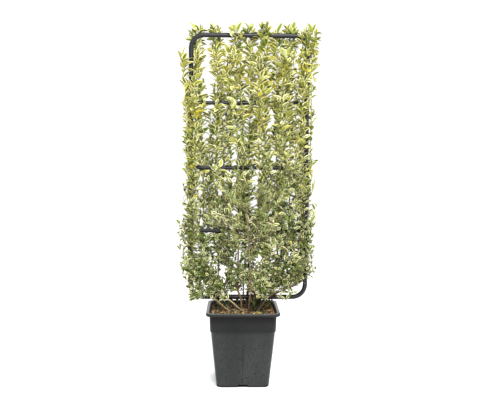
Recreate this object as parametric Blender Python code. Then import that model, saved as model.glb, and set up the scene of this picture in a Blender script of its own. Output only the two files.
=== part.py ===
# Potted golden privet espalier: upright shoots tied to a rounded tube frame, in a square pot.
# Lengths are metres. X runs along the frame, Y away from the viewer and Z up.
# The origin is the middle of the pot's flat underside.

import math
import random
from collections import namedtuple

import bmesh
import bpy
from mathutils import Matrix, Vector
from mathutils.bvhtree import BVHTree

# Clearance between pieces that touch on the real plant.
gap = 0.0003

# Square pot.
pot_height = 0.318
pot_rim_half = 0.1545
pot_corner_radius = 0.029
pot_base_half = 0.1095
pot_body_top_half = 0.1338
pot_body_top_z = 0.2340
pot_collar_bottom_half = 0.1367
pot_collar_bottom_z = 0.2395
pot_collar_top_half = 0.1402
pot_rim_band = 0.0135
pot_rim_land = 0.013
pot_rim_undercut = 0.004
pot_rim_softening = 0.002
pot_rim_slope = 0.005
pot_wall = 0.003
pot_floor = 0.016
pot_base_rounding = 0.008
# Height and inset of the rounding's middle edge, as shares of the rounding.
pot_rounding_middle = (0.25, 0.3)
notch_width = 0.040
notch_height = 0.012
notch_depth = 0.008

# Growing medium in the pot.
soil_top = 0.304

# Tube frame: one rounded hoop with three crossbars between its posts.
frame_middle_x = 0.022
frame_half_width = 0.247
frame_bottom_z = 0.361
frame_top_z = 1.4805
hoop_radius = 0.010
corner_radius = 0.055
corner_steps = 5
corner_stub = 0.004
crossbar_radius = 0.008
tube_sides = 10
crossbar_heights = {"upper": 1.194, "middle": 0.918, "lower": 0.648}

# Leaf of the lower and upper crown: length, width and thickness.
leaf_low = (0.062, 0.035, 0.0012)
leaf_high = (0.072, 0.038, 0.0012)
leaf_widest = 0.40
leaf_clearance = 0.0005
leaf_sunk = 0.0014
leaf_shortest = 0.88
leaf_longest = 1.08
leaf_tries = 2
leaf_retry_turn = 0.22
leaf_retry_size = 0.95
leaf_top_reach = 0.050
# Height from which leaves grow larger, and the rise over which they do.
leaf_grows_from = 0.406
leaf_grows_over = 0.8

# Angles in radians, from and to: between a leaf and its axis, and of a leaf about its midrib.
leaf_angle = (0.62, 0.86)
leaf_edge_twist = (0.5, 1.1)
leaf_flat_twist = (-0.4, 0.4)
top_leaf_angle = (0.25, 0.40)
top_leaf_twist = (0.9, 1.4)
top_leaf_aside = 0.4
twig_leaf_angle = (0.7, 1.0)
twig_leaf_twist = (-0.7, 0.7)
twig_tip_angle = 0.12
twig_tip_twist = (-0.8, 0.8)

# Upright shoots: the depth that they keep to on their side of the frame's plane, and their growth.
shoot_depth = 0.065
shoot_foot_radius = 0.0036
shoot_tip_radius = 0.0015
shoot_node_step = 0.050
shoot_ring_step = 0.120
shoot_sway = 0.004
shoot_sway_wave = 7.0
shoot_sway_shift = 2.3
shoot_space_below = 0.010
shoot_node_lower = 0.2
shoot_node_stray = 0.15
shoot_turn_stray = 0.2
shoot_side_lean = math.pi / 2 - 0.25
shoot_front_lean = 0.75
bushy_below = 0.846
bushy_every = 3
side_twig_length = (0.040, 0.052)
side_twig_radius = 0.0015
side_twig_rise = 0.72

# Upright shoots from left to right: place of foot and tip along X, side of the frame, foot height
# and top of leaves.
Shoot = namedtuple("Shoot", "foot_x tip_x side foot top")
shoots = (
    Shoot(-0.230, -0.262, "front", 0.498, 1.419),
    Shoot(-0.174, -0.205, "back", 0.474, 1.541),
    Shoot(-0.110, -0.124, "back", 0.474, 1.545),
    Shoot(-0.061, -0.061, "back", 0.461, 1.440),
    Shoot(-0.0225, -0.036, "front", 0.446, 1.524),
    Shoot(0.0247, 0.0247, "back", 0.466, 1.539),
    Shoot(0.0892, 0.0892, "front", 0.466, 1.543),
    Shoot(0.146, 0.1365, "back", 0.470, 1.529),
    Shoot(0.1753, 0.1753, "front", 0.474, 1.419),
    Shoot(0.197, 0.2025, "back", 0.474, 1.539),
    Shoot(0.245, 0.256, "front", 0.474, 1.526),
    Shoot(0.284, 0.294, "back", 0.474, 1.536),
)
shoot_lean_power = 3
crown_left = -0.298
crown_right = 0.340
crown_top = 1.551

# Low masses: name, foot, end of the stem, and the corners of the space that they keep to.
low_masses = (
    ("left", (-0.090, -0.040, 0.378), (-0.225, -0.046, 0.418), (-0.262, -0.105, 0.344), (-0.040, 0.105, 0.463)),
    ("right", (0.120, -0.040, 0.378), (0.235, -0.046, 0.418), (0.075, -0.105, 0.351), (0.262, 0.105, 0.463)),
    ("front", (0.030, -0.082, 0.474), (0.010, -0.088, 0.776), (-0.200, -0.132, 0.464), (0.240, -0.0655, 0.866)),
    ("back", (0.010, 0.082, 0.474), (0.020, 0.088, 0.776), (-0.200, 0.0655, 0.464), (0.240, 0.132, 0.866)),
)

# Stems that fork: foot, place along X where they cross the bottom bar, fork (X, Z), and the
# radii at foot and fork. A foot in front of the frame's plane keeps its whole stem in front.
stems = {
    "left_back": ((-0.026, 0.022), -0.062, (-0.083, 0.392), 0.0076, 0.0070),
    "centre": ((0.016, 0.020), 0.0205, (0.0247, 0.414), 0.0075, 0.0058),
    "right_back": ((0.048, 0.024), 0.086, (0.106, 0.392), 0.0070, 0.0056),
    "right_front": ((0.035, -0.022), 0.0508, (0.0520, 0.406), 0.0084, 0.0074),
}
stem_waist = 0.78
bough_radius = 0.0027
bough_spread = 0.0022
bough_bow = 0.07
bough_rise = 0.012
bough_socket = 0.004
bough_first_share = 0.2
bough_second_share = 0.42
bough_end_share = 0.74
flare_height = 0.022
foot_straight = 0.004

# Which shoots each forked stem carries, by number from the left.
forks = {
    "left_back": (1, 2, 3),
    "centre": (5, 7),
    "right_back": (9, 11),
    "right_front": (6, 8),
}

# Stems that run unforked to one shoot: its number, foot, place where they cross the bar, foot radius.
lone_stems = {
    "orange": (4, (-0.004, -0.028), -0.0096, 0.0058),
    "outer_left": (0, (-0.060, -0.034), -0.125, 0.0042),
    "outer_right": (10, (0.058, -0.024), 0.108, 0.0050),
}
# Stems that run unforked to a low mass: foot, a point on the way, and foot radius.
low_stems = {
    "left": ((0.003, -0.050), (-0.048, -0.043, 0.348), 0.0033),
    "right": ((0.062, -0.042), (0.088, -0.042, 0.344), 0.0038),
    "front": ((0.022, -0.060), (0.030, -0.076, 0.396), 0.0038),
    "back": ((0.002, 0.056), (0.004, 0.078, 0.376), 0.0040),
}

# Ties: what is tied, the bar that it is tied to, and the way the cut tail points.
ties = (
    (6, "top", (-0.7, -0.3, 0.7)),
    (9, "top", (0.8, 0.4, 0.5)),
    (6, "upper", (-0.3, -0.6, -0.7)),
    (8, "upper", (0.4, -0.5, -0.8)),
    (1, "middle", (-0.5, -0.7, -0.5)),
    (2, "lower", (-0.6, 0.5, 0.6)),
    (5, "lower", (0.5, 0.6, -0.7)),
    ("right_front", "bottom", (0.8, -0.5, 0.2)),
)
tie_band = 0.0012
tie_width = 0.0034
tie_head = (0.0058, 0.0046, 0.0044)
tie_tail = (0.0026, 0.0011, 0.024)
tie_sides = 8
tie_slack = 0.0018

# Side twigs: their taper, the share of a leaf near its root that others may cross, where their
# leaves stand along them, and the length from which they carry a second pair.
twig_tip_share = 0.55
free_root = 0.22
twig_first_pair = 0.50
twig_second_pair = 0.78
twig_end_leaf = 0.97
twig_two_pairs = 0.07

# Sides of the forked stems, of other stems and boughs, and of the stems inside the masses.
fork_sides = 8
limb_sides = 6
inner_sides = 3
# Angles in degrees up to which the edges of tubes and limbs are shaded smooth.
tube_smooth = 40
limb_smooth = 50

# Last stretch of a limb, straight into its mass.
limb_stub = 0.006
upright_run = 0.045

# Low masses: their stem, and the twigs on it.
low_foot_radius = 0.0028
low_tip_radius = 0.0016
low_arch = 0.012
low_upright_from = 0.7
low_nodes_level = 5
low_nodes_upright = 6
low_twig_level = 0.070
low_twig_upright = 0.150
low_twig_shortest = 0.7
low_twig_radius = 0.0016
low_twig_rise = (0.25, 0.6)
low_twig_tilt = 0.45
low_leaf_angle = 0.9
low_leaf_twist = 0.3
low_node_raise = 0.6

# First numbers for the dice of the shoots and of the low masses.
shoot_seed = 100
low_seed = 300


def clear_scene():
    for thing in list(bpy.data.objects):
        bpy.data.objects.remove(thing, do_unlink=True)


def new_collection(name):
    collection = bpy.data.collections.new(name)
    bpy.context.scene.collection.children.link(collection)
    return collection


def make_material(name, colour, roughness, metallic=0.0):
    material = bpy.data.materials.new(name)
    material.use_nodes = True
    shader = material.node_tree.nodes["Principled BSDF"]
    shader.inputs["Base Color"].default_value = (*colour, 1.0)
    shader.inputs["Roughness"].default_value = roughness
    shader.inputs["Metallic"].default_value = metallic
    material.diffuse_color = (*colour, 1.0)
    return material


def add_object(name, mesh, material, collection, smooth_angle=None):
    mesh.name = name
    mesh.materials.clear()
    mesh.materials.append(material)
    thing = bpy.data.objects.new(name, mesh)
    collection.objects.link(thing)
    if smooth_angle is not None:
        mesh.shade_smooth()
        mesh.set_sharp_from_angle(angle=math.radians(smooth_angle))
    return thing


def evaluated_mesh(thing):
    graph = bpy.context.evaluated_depsgraph_get()
    return bpy.data.meshes.new_from_object(thing.evaluated_get(graph))


def welded(mesh):
    # Welds the loose caps of a curve's mesh and turns every face outwards.
    work = bmesh.new()
    work.from_mesh(mesh)
    bmesh.ops.remove_doubles(work, verts=work.verts, dist=0.000002)
    bmesh.ops.recalc_face_normals(work, faces=work.faces)
    work.to_mesh(mesh)
    work.free()
    return mesh


def swept_mesh(points, radii, sides):
    # A round limb or tube: a curve with a bevel object of so many sides and a radius at each point.
    outline = bpy.data.curves.new("outline", "CURVE")
    ring = outline.splines.new("POLY")
    ring.points.add(sides - 1)
    for number, place in enumerate(ring.points):
        turn = 2 * math.pi * number / sides
        place.co = (math.cos(turn), math.sin(turn), 0, 1)
    ring.use_cyclic_u = True
    outline_holder = bpy.data.objects.new("outline", outline)
    curve = bpy.data.curves.new("sweep", "CURVE")
    curve.dimensions = "3D"
    spline = curve.splines.new("POLY")
    spline.points.add(len(points) - 1)
    for place, point, radius in zip(spline.points, points, radii):
        place.co = (*point, 1)
        place.radius = radius
    curve.bevel_mode = "OBJECT"
    curve.bevel_object = outline_holder
    curve.use_fill_caps = True
    holder = bpy.data.objects.new("sweep", curve)
    scene_objects = bpy.context.scene.collection.objects
    scene_objects.link(outline_holder)
    scene_objects.link(holder)
    mesh = welded(evaluated_mesh(holder))
    for thing in (holder, outline_holder):
        bpy.data.objects.remove(thing)
    return mesh


def apply_modifiers(thing):
    mesh = evaluated_mesh(thing)
    thing.modifiers.clear()
    thing.data = mesh


def keep_main_body(thing):
    # Leaves only the largest connected body, so loose scraps go and sealed hollows fill.
    work = bmesh.new()
    work.from_mesh(thing.data)
    left = set(work.verts)
    bodies = []
    while left:
        body = [left.pop()]
        for vert in body:
            for edge in vert.link_edges:
                other = edge.other_vert(vert)
                if other in left:
                    left.remove(other)
                    body.append(other)
        bodies.append(body)
    bodies.sort(key=len)
    for body in bodies[:-1]:
        bmesh.ops.delete(work, geom=body, context="VERTS")
    work.to_mesh(thing.data)
    work.free()


def union_all(thing, pieces, collection_name):
    # Fuses the pieces into the object with one Boolean on a collection, then removes them.
    holder = new_collection(collection_name)
    for piece in pieces:
        holder.objects.link(piece)
    joint = thing.modifiers.new("fuse", "BOOLEAN")
    joint.operation = "UNION"
    joint.operand_type = "COLLECTION"
    joint.collection = holder
    joint.solver = "EXACT"
    apply_modifiers(thing)
    for piece in pieces:
        bpy.data.objects.remove(piece)
    bpy.data.collections.remove(holder)
    keep_main_body(thing)


def square_loft(name, sections, material, collection):
    # A rounded square face, extruded and scaled through each (half width, height) in turn.
    work = bmesh.new()
    half, height = sections[0]
    bmesh.ops.create_grid(work, x_segments=1, y_segments=1, size=half)
    bmesh.ops.bevel(
        work,
        geom=list(work.verts),
        offset=pot_corner_radius * half / pot_rim_half,
        segments=3,
        profile=0.5,
        affect="VERTICES",
    )
    bmesh.ops.translate(work, verts=work.verts, vec=(0, 0, height))
    face = work.faces[:][0]
    for step, (next_half, next_height) in enumerate(sections[1:]):
        grown = bmesh.ops.extrude_face_region(work, geom=[face])["geom"]
        if step and face.is_valid:
            bmesh.ops.delete(work, geom=[face], context="FACES_ONLY")
        face = next(item for item in grown if isinstance(item, bmesh.types.BMFace))
        scale = next_half / half
        for vert in face.verts:
            vert.co.x *= scale
            vert.co.y *= scale
            vert.co.z = next_height
        half = next_half
    bmesh.ops.recalc_face_normals(work, faces=work.faces)
    mesh = bpy.data.meshes.new(name)
    work.to_mesh(mesh)
    work.free()
    return add_object(name, mesh, material, collection)


def wall_half(height):
    # Half width of the pot's outer wall between the base and the collar's top.
    stops = (
        (0.0, pot_base_half),
        (pot_body_top_z, pot_body_top_half),
        (pot_collar_bottom_z, pot_collar_bottom_half),
        (pot_height - pot_rim_band, pot_collar_top_half),
        (pot_height, pot_collar_top_half),
    )
    for (low, low_half), (high, high_half) in zip(stops, stops[1:]):
        if height <= high:
            return low_half + (high_half - low_half) * (height - low) / (high - low)
    return stops[-1][1]


def build_pot(material, collection, cutters):
    under_rim = pot_height - pot_rim_band
    rounding = pot_base_rounding
    middle_height, middle_inset = pot_rounding_middle
    inner = [
        (pot_rim_half - pot_rim_land, pot_height),
        (wall_half(pot_height) - pot_wall, pot_height - pot_rim_slope),
        (wall_half(under_rim) - pot_wall, under_rim),
        (wall_half(pot_collar_bottom_z) - pot_wall, pot_collar_bottom_z),
        (wall_half(pot_body_top_z) - pot_wall, pot_body_top_z),
        (wall_half(pot_floor) - pot_wall, pot_floor),
    ]
    outer = [
        (pot_base_half - rounding, 0.0),
        (pot_base_half - middle_inset * rounding, middle_height * rounding),
        (wall_half(rounding), rounding),
        (pot_body_top_half, pot_body_top_z),
        (pot_collar_bottom_half, pot_collar_bottom_z),
        (pot_collar_top_half, under_rim),
        (pot_rim_half - pot_rim_undercut, under_rim),
        (pot_rim_half, under_rim + pot_rim_undercut),
        (pot_rim_half, pot_height - pot_rim_softening),
        (pot_rim_half - pot_rim_softening, pot_height),
    ]
    pot = square_loft("pot", outer + inner, material, collection)
    for number in range(4):
        bpy.ops.mesh.primitive_cube_add(size=1)
        cutter = bpy.context.object
        cutter.name = f"pot_notch_cutter_{number}"
        turn = Matrix.Rotation(number * math.pi / 2, 4, "Z")
        spot = Matrix.Translation((0, -pot_base_half, 0))
        size = Matrix.Diagonal((notch_width, 2 * notch_depth, 2 * notch_height, 1))
        cutter.data.transform(turn @ spot @ size)
        cutter.hide_render = True
        cutter.display_type = "WIRE"
        for home in list(cutter.users_collection):
            home.objects.unlink(cutter)
        cutters.objects.link(cutter)
        cut = pot.modifiers.new(f"notch_{number}", "BOOLEAN")
        cut.operation = "DIFFERENCE"
        cut.object = cutter
    return pot


def build_soil(material, collection):
    sections = []
    for height in (pot_floor, pot_body_top_z, pot_collar_bottom_z, soil_top):
        half = wall_half(height) - pot_wall - gap
        sections.append((half, max(height, pot_floor + gap)))
    return square_loft("soil", sections, material, collection)


def tube(name, start, end, radius, material, collection):
    mesh = swept_mesh((start, end), (radius, radius), tube_sides)
    return add_object(name, mesh, material, collection, smooth_angle=tube_smooth)


def corner_points(side_x, side_z):
    # Centre line of one rounded corner, from the post's end to the bar's end.
    x_post = frame_middle_x + side_x * frame_half_width
    z_bar = frame_top_z if side_z > 0 else frame_bottom_z
    centre = Vector((x_post - side_x * corner_radius, 0, z_bar - side_z * corner_radius))
    points = [centre + Vector((side_x * corner_radius, 0, -side_z * corner_stub))]
    for step in range(corner_steps + 1):
        turn = math.pi / 2 * step / corner_steps
        arm = Vector((side_x * math.cos(turn), 0, side_z * math.sin(turn)))
        points.append(centre + arm * corner_radius)
    points.append(centre + Vector((-side_x * corner_stub, 0, side_z * corner_radius)))
    return points


def build_frame(material, collection, cutters):
    left = frame_middle_x - frame_half_width
    right = frame_middle_x + frame_half_width
    corner_reach = corner_radius + corner_stub + gap
    low = frame_bottom_z + corner_reach
    high = frame_top_z - corner_reach
    posts = {}
    for side, x in (("left", left), ("right", right)):
        name = f"frame_post_{side}"
        posts[side] = tube(name, (x, 0, low), (x, 0, high), hoop_radius, material, collection)
    inner_left = left + corner_reach
    inner_right = right - corner_reach
    for side, z in (("top", frame_top_z), ("bottom", frame_bottom_z)):
        name = f"frame_bar_{side}"
        tube(name, (inner_left, 0, z), (inner_right, 0, z), hoop_radius, material, collection)
    for side_x, word_x in ((-1, "left"), (1, "right")):
        for side_z, word_z in ((-1, "bottom"), (1, "top")):
            points = corner_points(side_x, side_z)
            mesh = swept_mesh(points, [hoop_radius] * len(points), tube_sides)
            add_object(f"frame_corner_{word_z}_{word_x}", mesh, material, collection, smooth_angle=tube_smooth)
    # The crossbars' ends are coped round the posts.
    copes = []
    for side, x in (("left", left), ("right", right)):
        mesh = swept_mesh(((x, 0, low), (x, 0, high)), [hoop_radius + gap] * 2, tube_sides)
        cope = bpy.data.objects.new(f"cope_cutter_{side}", mesh)
        cutters.objects.link(cope)
        cope.hide_render = True
        cope.display_type = "WIRE"
        copes.append(cope)
    for word, z in crossbar_heights.items():
        bar = tube(f"frame_crossbar_{word}", (left, 0, z), (right, 0, z), crossbar_radius, material, collection)
        for cope in copes:
            cut = bar.modifiers.new(cope.name, "BOOLEAN")
            cut.operation = "DIFFERENCE"
            cut.object = cope


def shoot_side(number):
    return -1 if shoots[number].side == "front" else 1


def shoot_tip(number):
    # Height of a shoot's own tip, below its topmost leaves.
    return shoots[number].top - leaf_top_reach


def shoot_share(number, height):
    # How far up a shoot a height lies, as a share of the shoot.
    foot = shoots[number].foot
    return (height - foot) / (shoot_tip(number) - foot)


def shoot_radius(number, height):
    share = shoot_share(number, height)
    return shoot_foot_radius + (shoot_tip_radius - shoot_foot_radius) * share


def shoot_point(number, height):
    # Centre of an upright shoot at a height: it sways a little along X, leans on the bars and
    # bends towards its tip's place.
    shoot = shoots[number]
    lean = (shoot.tip_x - shoot.foot_x) * max(shoot_share(number, height), 0) ** shoot_lean_power
    sway = shoot_sway * math.sin(shoot_sway_wave * height + shoot_sway_shift * number)
    depth = bar_clearance(shoot_foot_radius)
    return Vector((shoot.foot_x + lean + sway, shoot_side(number) * depth, height))


def shoot_path(number):
    # Centre line of a shoot, with a point at its foot, its tip and evenly between them.
    foot = shoots[number].foot
    tip = shoot_tip(number)
    count = round((tip - foot) / shoot_ring_step)
    return [shoot_point(number, foot + (tip - foot) * step / count) for step in range(count + 1)]


def path_point(points, share):
    # Point and direction at a share of the way along a path of even steps.
    place = min(share * (len(points) - 1), len(points) - 1.000001)
    index = int(place)
    start = points[index]
    end = points[index + 1]
    return start.lerp(end, place - index), (end - start).normalized()


def bezier(start, first, second, end, steps):
    points = []
    for step in range(steps + 1):
        t = step / steps
        u = 1 - t
        points.append(start * u**3 + first * 3 * u * u * t + second * 3 * u * t * t + end * t**3)
    return points


def smooth_path(anchors, steps):
    # A smooth curve through a few anchors, sampled evenly between each pair.
    ends = [2 * anchors[0] - anchors[1]] + list(anchors) + [2 * anchors[-1] - anchors[-2]]
    points = []
    for before, start, end, after in zip(ends, ends[1:], ends[2:], ends[3:]):
        for step in range(steps):
            t = step / steps
            points.append(
                0.5
                * (
                    2 * start
                    + (end - before) * t
                    + (2 * before - 5 * start + 4 * end - after) * t * t
                    + (3 * start - before - 3 * end + after) * t**3
                )
            )
    points.append(anchors[-1].copy())
    return points


def taper(count, first, last):
    return [first + (last - first) * step / (count - 1) for step in range(count)]


def stem_radii(points, foot_radius, end_radius):
    # Even taper, with a root flare in the lowest stretch.
    radii = taper(len(points), foot_radius * stem_waist, end_radius)
    for number, point in enumerate(points):
        rise = point.z - points[0].z
        if rise < flare_height:
            radii[number] = foot_radius + (radii[number] - foot_radius) * rise / flare_height
    return radii


def flat_foot(points):
    # The lowest stretch stands upright, so the cut at the soil is level.
    foot = points[0]
    return [foot, foot + Vector((0, 0, foot_straight))] + points[1:]


def bar_clearance(radius):
    # Distance of a limb's centre from the plane of the frame where the limb leans on a bar.
    return hoop_radius + gap + radius


def low_path(foot, end):
    # Centre line of a low mass's own stem, which arches a little.
    foot = Vector(foot)
    end = Vector(end)
    middle = (foot + end) / 2 + Vector((0, 0, low_arch))
    return smooth_path([foot, middle, end], 3)


def stem_line(name):
    # Centre line and radii of a forked stem, from the soil past the bottom bar to its fork.
    foot, beside_x, fork_place, foot_radius, fork_radius = stems[name]
    side = math.copysign(1, foot[1])
    thickest = max(foot_radius * stem_waist, fork_radius)
    beside = Vector((beside_x, side * bar_clearance(thickest), frame_bottom_z))
    fork = Vector((fork_place[0], side * bar_clearance(fork_radius), fork_place[1]))
    points = flat_foot(smooth_path([Vector((*foot, soil_top + gap)), beside, fork], 3))
    return points, stem_radii(points, foot_radius, fork_radius)


def bough_line(name, place, number):
    # Centre line of one of a fork's boughs, side by side at the fork and upright at the shoot.
    points, radii = stem_line(name)
    fork = points[-1]
    aim = (fork - points[-2]).normalized()
    across = (Vector((1, 0, 0)) - aim * aim.x).normalized()
    offset = across * (place - (len(forks[name]) - 1) / 2) * (2 * bough_radius + bough_spread)
    socket = fork + aim * gap + offset
    start = socket + aim * bough_socket
    end = shoot_point(number, shoots[number].foot - limb_stub)
    spread = end - start
    bow = Vector((0, shoot_side(number) * bough_bow * abs(spread.x), 0))
    first = start + aim * bough_rise + spread * bough_first_share + offset + bow
    second = end - Vector((0, 0, bough_second_share * spread.z))
    return [socket] + bezier(start, first, second, end, 5) + [shoot_path(number)[0]]


def build_limbs(material, collection):
    for name in stems:
        points, radii = stem_line(name)
        add_limb(f"stem_{name}", points, radii, fork_sides, material, collection)
        for place, number in enumerate(forks[name]):
            points = bough_line(name, place, number)
            radii = taper(len(points), bough_radius, shoot_foot_radius * bough_end_share)
            add_limb(f"bough_{number + 1:02d}", points, radii, limb_sides, material, collection)
    for name, (number, foot, beside_x, foot_radius) in lone_stems.items():
        side = math.copysign(1, foot[1])
        beside = Vector((beside_x, side * bar_clearance(foot_radius), frame_bottom_z))
        upright = shoot_point(number, shoots[number].foot - upright_run)
        end = shoot_point(number, shoots[number].foot - limb_stub)
        points = flat_foot(smooth_path([Vector((*foot, soil_top + gap)), beside, upright, end], 3))
        points.append(shoot_path(number)[0])
        radii = stem_radii(points, foot_radius, shoot_foot_radius)
        add_limb(f"stem_{name}", points, radii, limb_sides, material, collection)
    for name, foot, end, low, high in low_masses:
        ground, beside, foot_radius = low_stems[name]
        path = low_path(foot, end)
        below = path[0] - (path[1] - path[0]).normalized() * limb_stub
        points = flat_foot(smooth_path([Vector((*ground, soil_top + gap)), Vector(beside), below], 3))
        points.append(path[0])
        radii = stem_radii(points, foot_radius, low_foot_radius)
        add_limb(f"stem_low_{name}", points, radii, limb_sides, material, collection)


def add_limb(name, points, radii, sides, material, collection):
    mesh = swept_mesh(points, radii, sides)
    add_object(name, mesh, material, collection, smooth_angle=limb_smooth)


def tie_outline(bar, stem_y, stem, slack, spread):
    # Eight-sided outline round the slanting cuts of a bar and of the limb that crosses it.
    rounds = ((0, bar + spread), (stem_y, stem + spread))
    lines = []
    for number in range(tie_sides):
        turn = math.tau * (number + 0.5) / tie_sides
        nx = math.cos(turn)
        ny = math.sin(turn)
        reach = 0
        for y, radius in rounds:
            long_half = radius * math.sqrt(2) + slack
            reach = max(reach, y * ny + math.hypot(long_half * nx, radius * ny))
        lines.append((nx, ny, reach))
    points = []
    for (ax, ay, a), (bx, by, b) in zip(lines, lines[1:] + lines[:1]):
        scale = ax * by - ay * bx
        points.append(((a * by - b * ay) / scale, (b * ax - a * bx) / scale))
    return points


def box_mesh(size):
    work = bmesh.new()
    bmesh.ops.create_cube(work, size=1)
    bmesh.ops.scale(work, verts=work.verts, vec=size)
    mesh = bpy.data.meshes.new("box")
    work.to_mesh(mesh)
    work.free()
    return mesh


def build_tie(name, centre, stem_y, stem_radius, bar_radius, lean, tail, material, collection):
    # A flat band pulled round bar and limb, with its lock and its cut tail. It slants against
    # the limb's own lean, the way that it pulls tight.
    band = bpy.data.curves.new(name, "CURVE")
    band.dimensions = "2D"
    band.fill_mode = "BOTH"
    band.extrude = tie_width / 2
    for spread in (gap, gap + tie_band):
        ring = band.splines.new("POLY")
        outline = tie_outline(bar_radius, stem_y, stem_radius, tie_slack, spread)
        ring.points.add(len(outline) - 1)
        for place, (x, y) in zip(ring.points, outline):
            place.co = (x, y, 0, 1)
        ring.use_cyclic_u = True
    holder = bpy.data.objects.new(name, band)
    slant = Vector((1, 0, -math.copysign(1, lean))).normalized()
    deep = Vector((0, 1, 0))
    turn = Matrix((slant, deep, slant.cross(deep))).transposed().to_4x4()
    bpy.context.scene.collection.objects.link(holder)
    mesh = welded(evaluated_mesh(holder))
    bpy.data.objects.remove(holder)
    mesh.transform(Matrix.Translation(centre) @ turn)
    tie = add_object(name, mesh, material, collection)
    side = math.copysign(1, stem_y)
    out = abs(stem_y) + stem_radius + gap + tie_head[1] / 2
    head_place = centre + Vector((0, side * out, 0))
    head = bpy.data.objects.new(f"{name}_head", box_mesh(tie_head))
    head.matrix_world = Matrix.Translation(head_place) @ turn
    along = Vector(tail).normalized()
    strap = bpy.data.objects.new(f"{name}_tail", box_mesh(tie_tail))
    tail_turn = along.to_track_quat("Z", "X").to_matrix().to_4x4()
    strap.matrix_world = Matrix.Translation(head_place + along * tie_tail[2] / 2) @ tail_turn
    union_all(tie, [head, strap], name)


def build_ties(material, collection):
    heights = dict(crossbar_heights, top=frame_top_z, bottom=frame_bottom_z)
    for number, (limb, bar, tail) in enumerate(ties):
        height = heights[bar]
        bar_radius = crossbar_radius if bar in crossbar_heights else hoop_radius
        if limb in stems:
            points, radii = stem_line(limb)
            spot, radius = min(zip(points, radii), key=lambda pair: abs(pair[0].z - height))
            lean = spot.x - points[0].x
        else:
            spot, axis = path_point(shoot_path(limb), shoot_share(limb, height))
            radius = shoot_radius(limb, height)
            lean = axis.x
        centre = Vector((spot.x, 0, height))
        name = f"tie_{number + 1}_{bar}"
        build_tie(name, centre, spot.y, radius + gap, bar_radius, lean, tail, material, collection)


def leaf_blank():
    # A leaf of 8 faces, one unit long, wide and thick, that stands on its root along Z.
    work = bmesh.new()
    bmesh.ops.create_uvsphere(work, u_segments=4, v_segments=2, radius=1)
    for vert in work.verts:
        if abs(vert.co.z) < 0.5:
            vert.co = (vert.co.x / 2, vert.co.y / 2, leaf_widest)
        else:
            vert.co.z = (vert.co.z + 1) / 2
    mesh = bpy.data.meshes.new("leaf_blank")
    work.to_mesh(mesh)
    work.free()
    return mesh


def twig_blank():
    # A three-sided twig, one unit long and one unit in radius at its foot, along Z.
    work = bmesh.new()
    bmesh.ops.create_cone(work, cap_ends=True, segments=3, radius1=1, radius2=twig_tip_share, depth=1)
    bmesh.ops.translate(work, verts=work.verts, vec=(0, 0, 0.5))
    mesh = bpy.data.meshes.new("twig_blank")
    work.to_mesh(mesh)
    work.free()
    return mesh


def tree_of(things):
    # One search tree of the surfaces of several objects.
    graph = bpy.context.evaluated_depsgraph_get()
    points = []
    faces = []
    for thing in things:
        shape = thing.evaluated_get(graph)
        mesh = shape.to_mesh()
        start = len(points)
        points += [thing.matrix_world @ vert.co for vert in mesh.vertices]
        faces += [[start + corner for corner in face.vertices] for face in mesh.polygons]
        shape.to_mesh_clear()
    return BVHTree.FromPolygons(points, faces)


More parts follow.
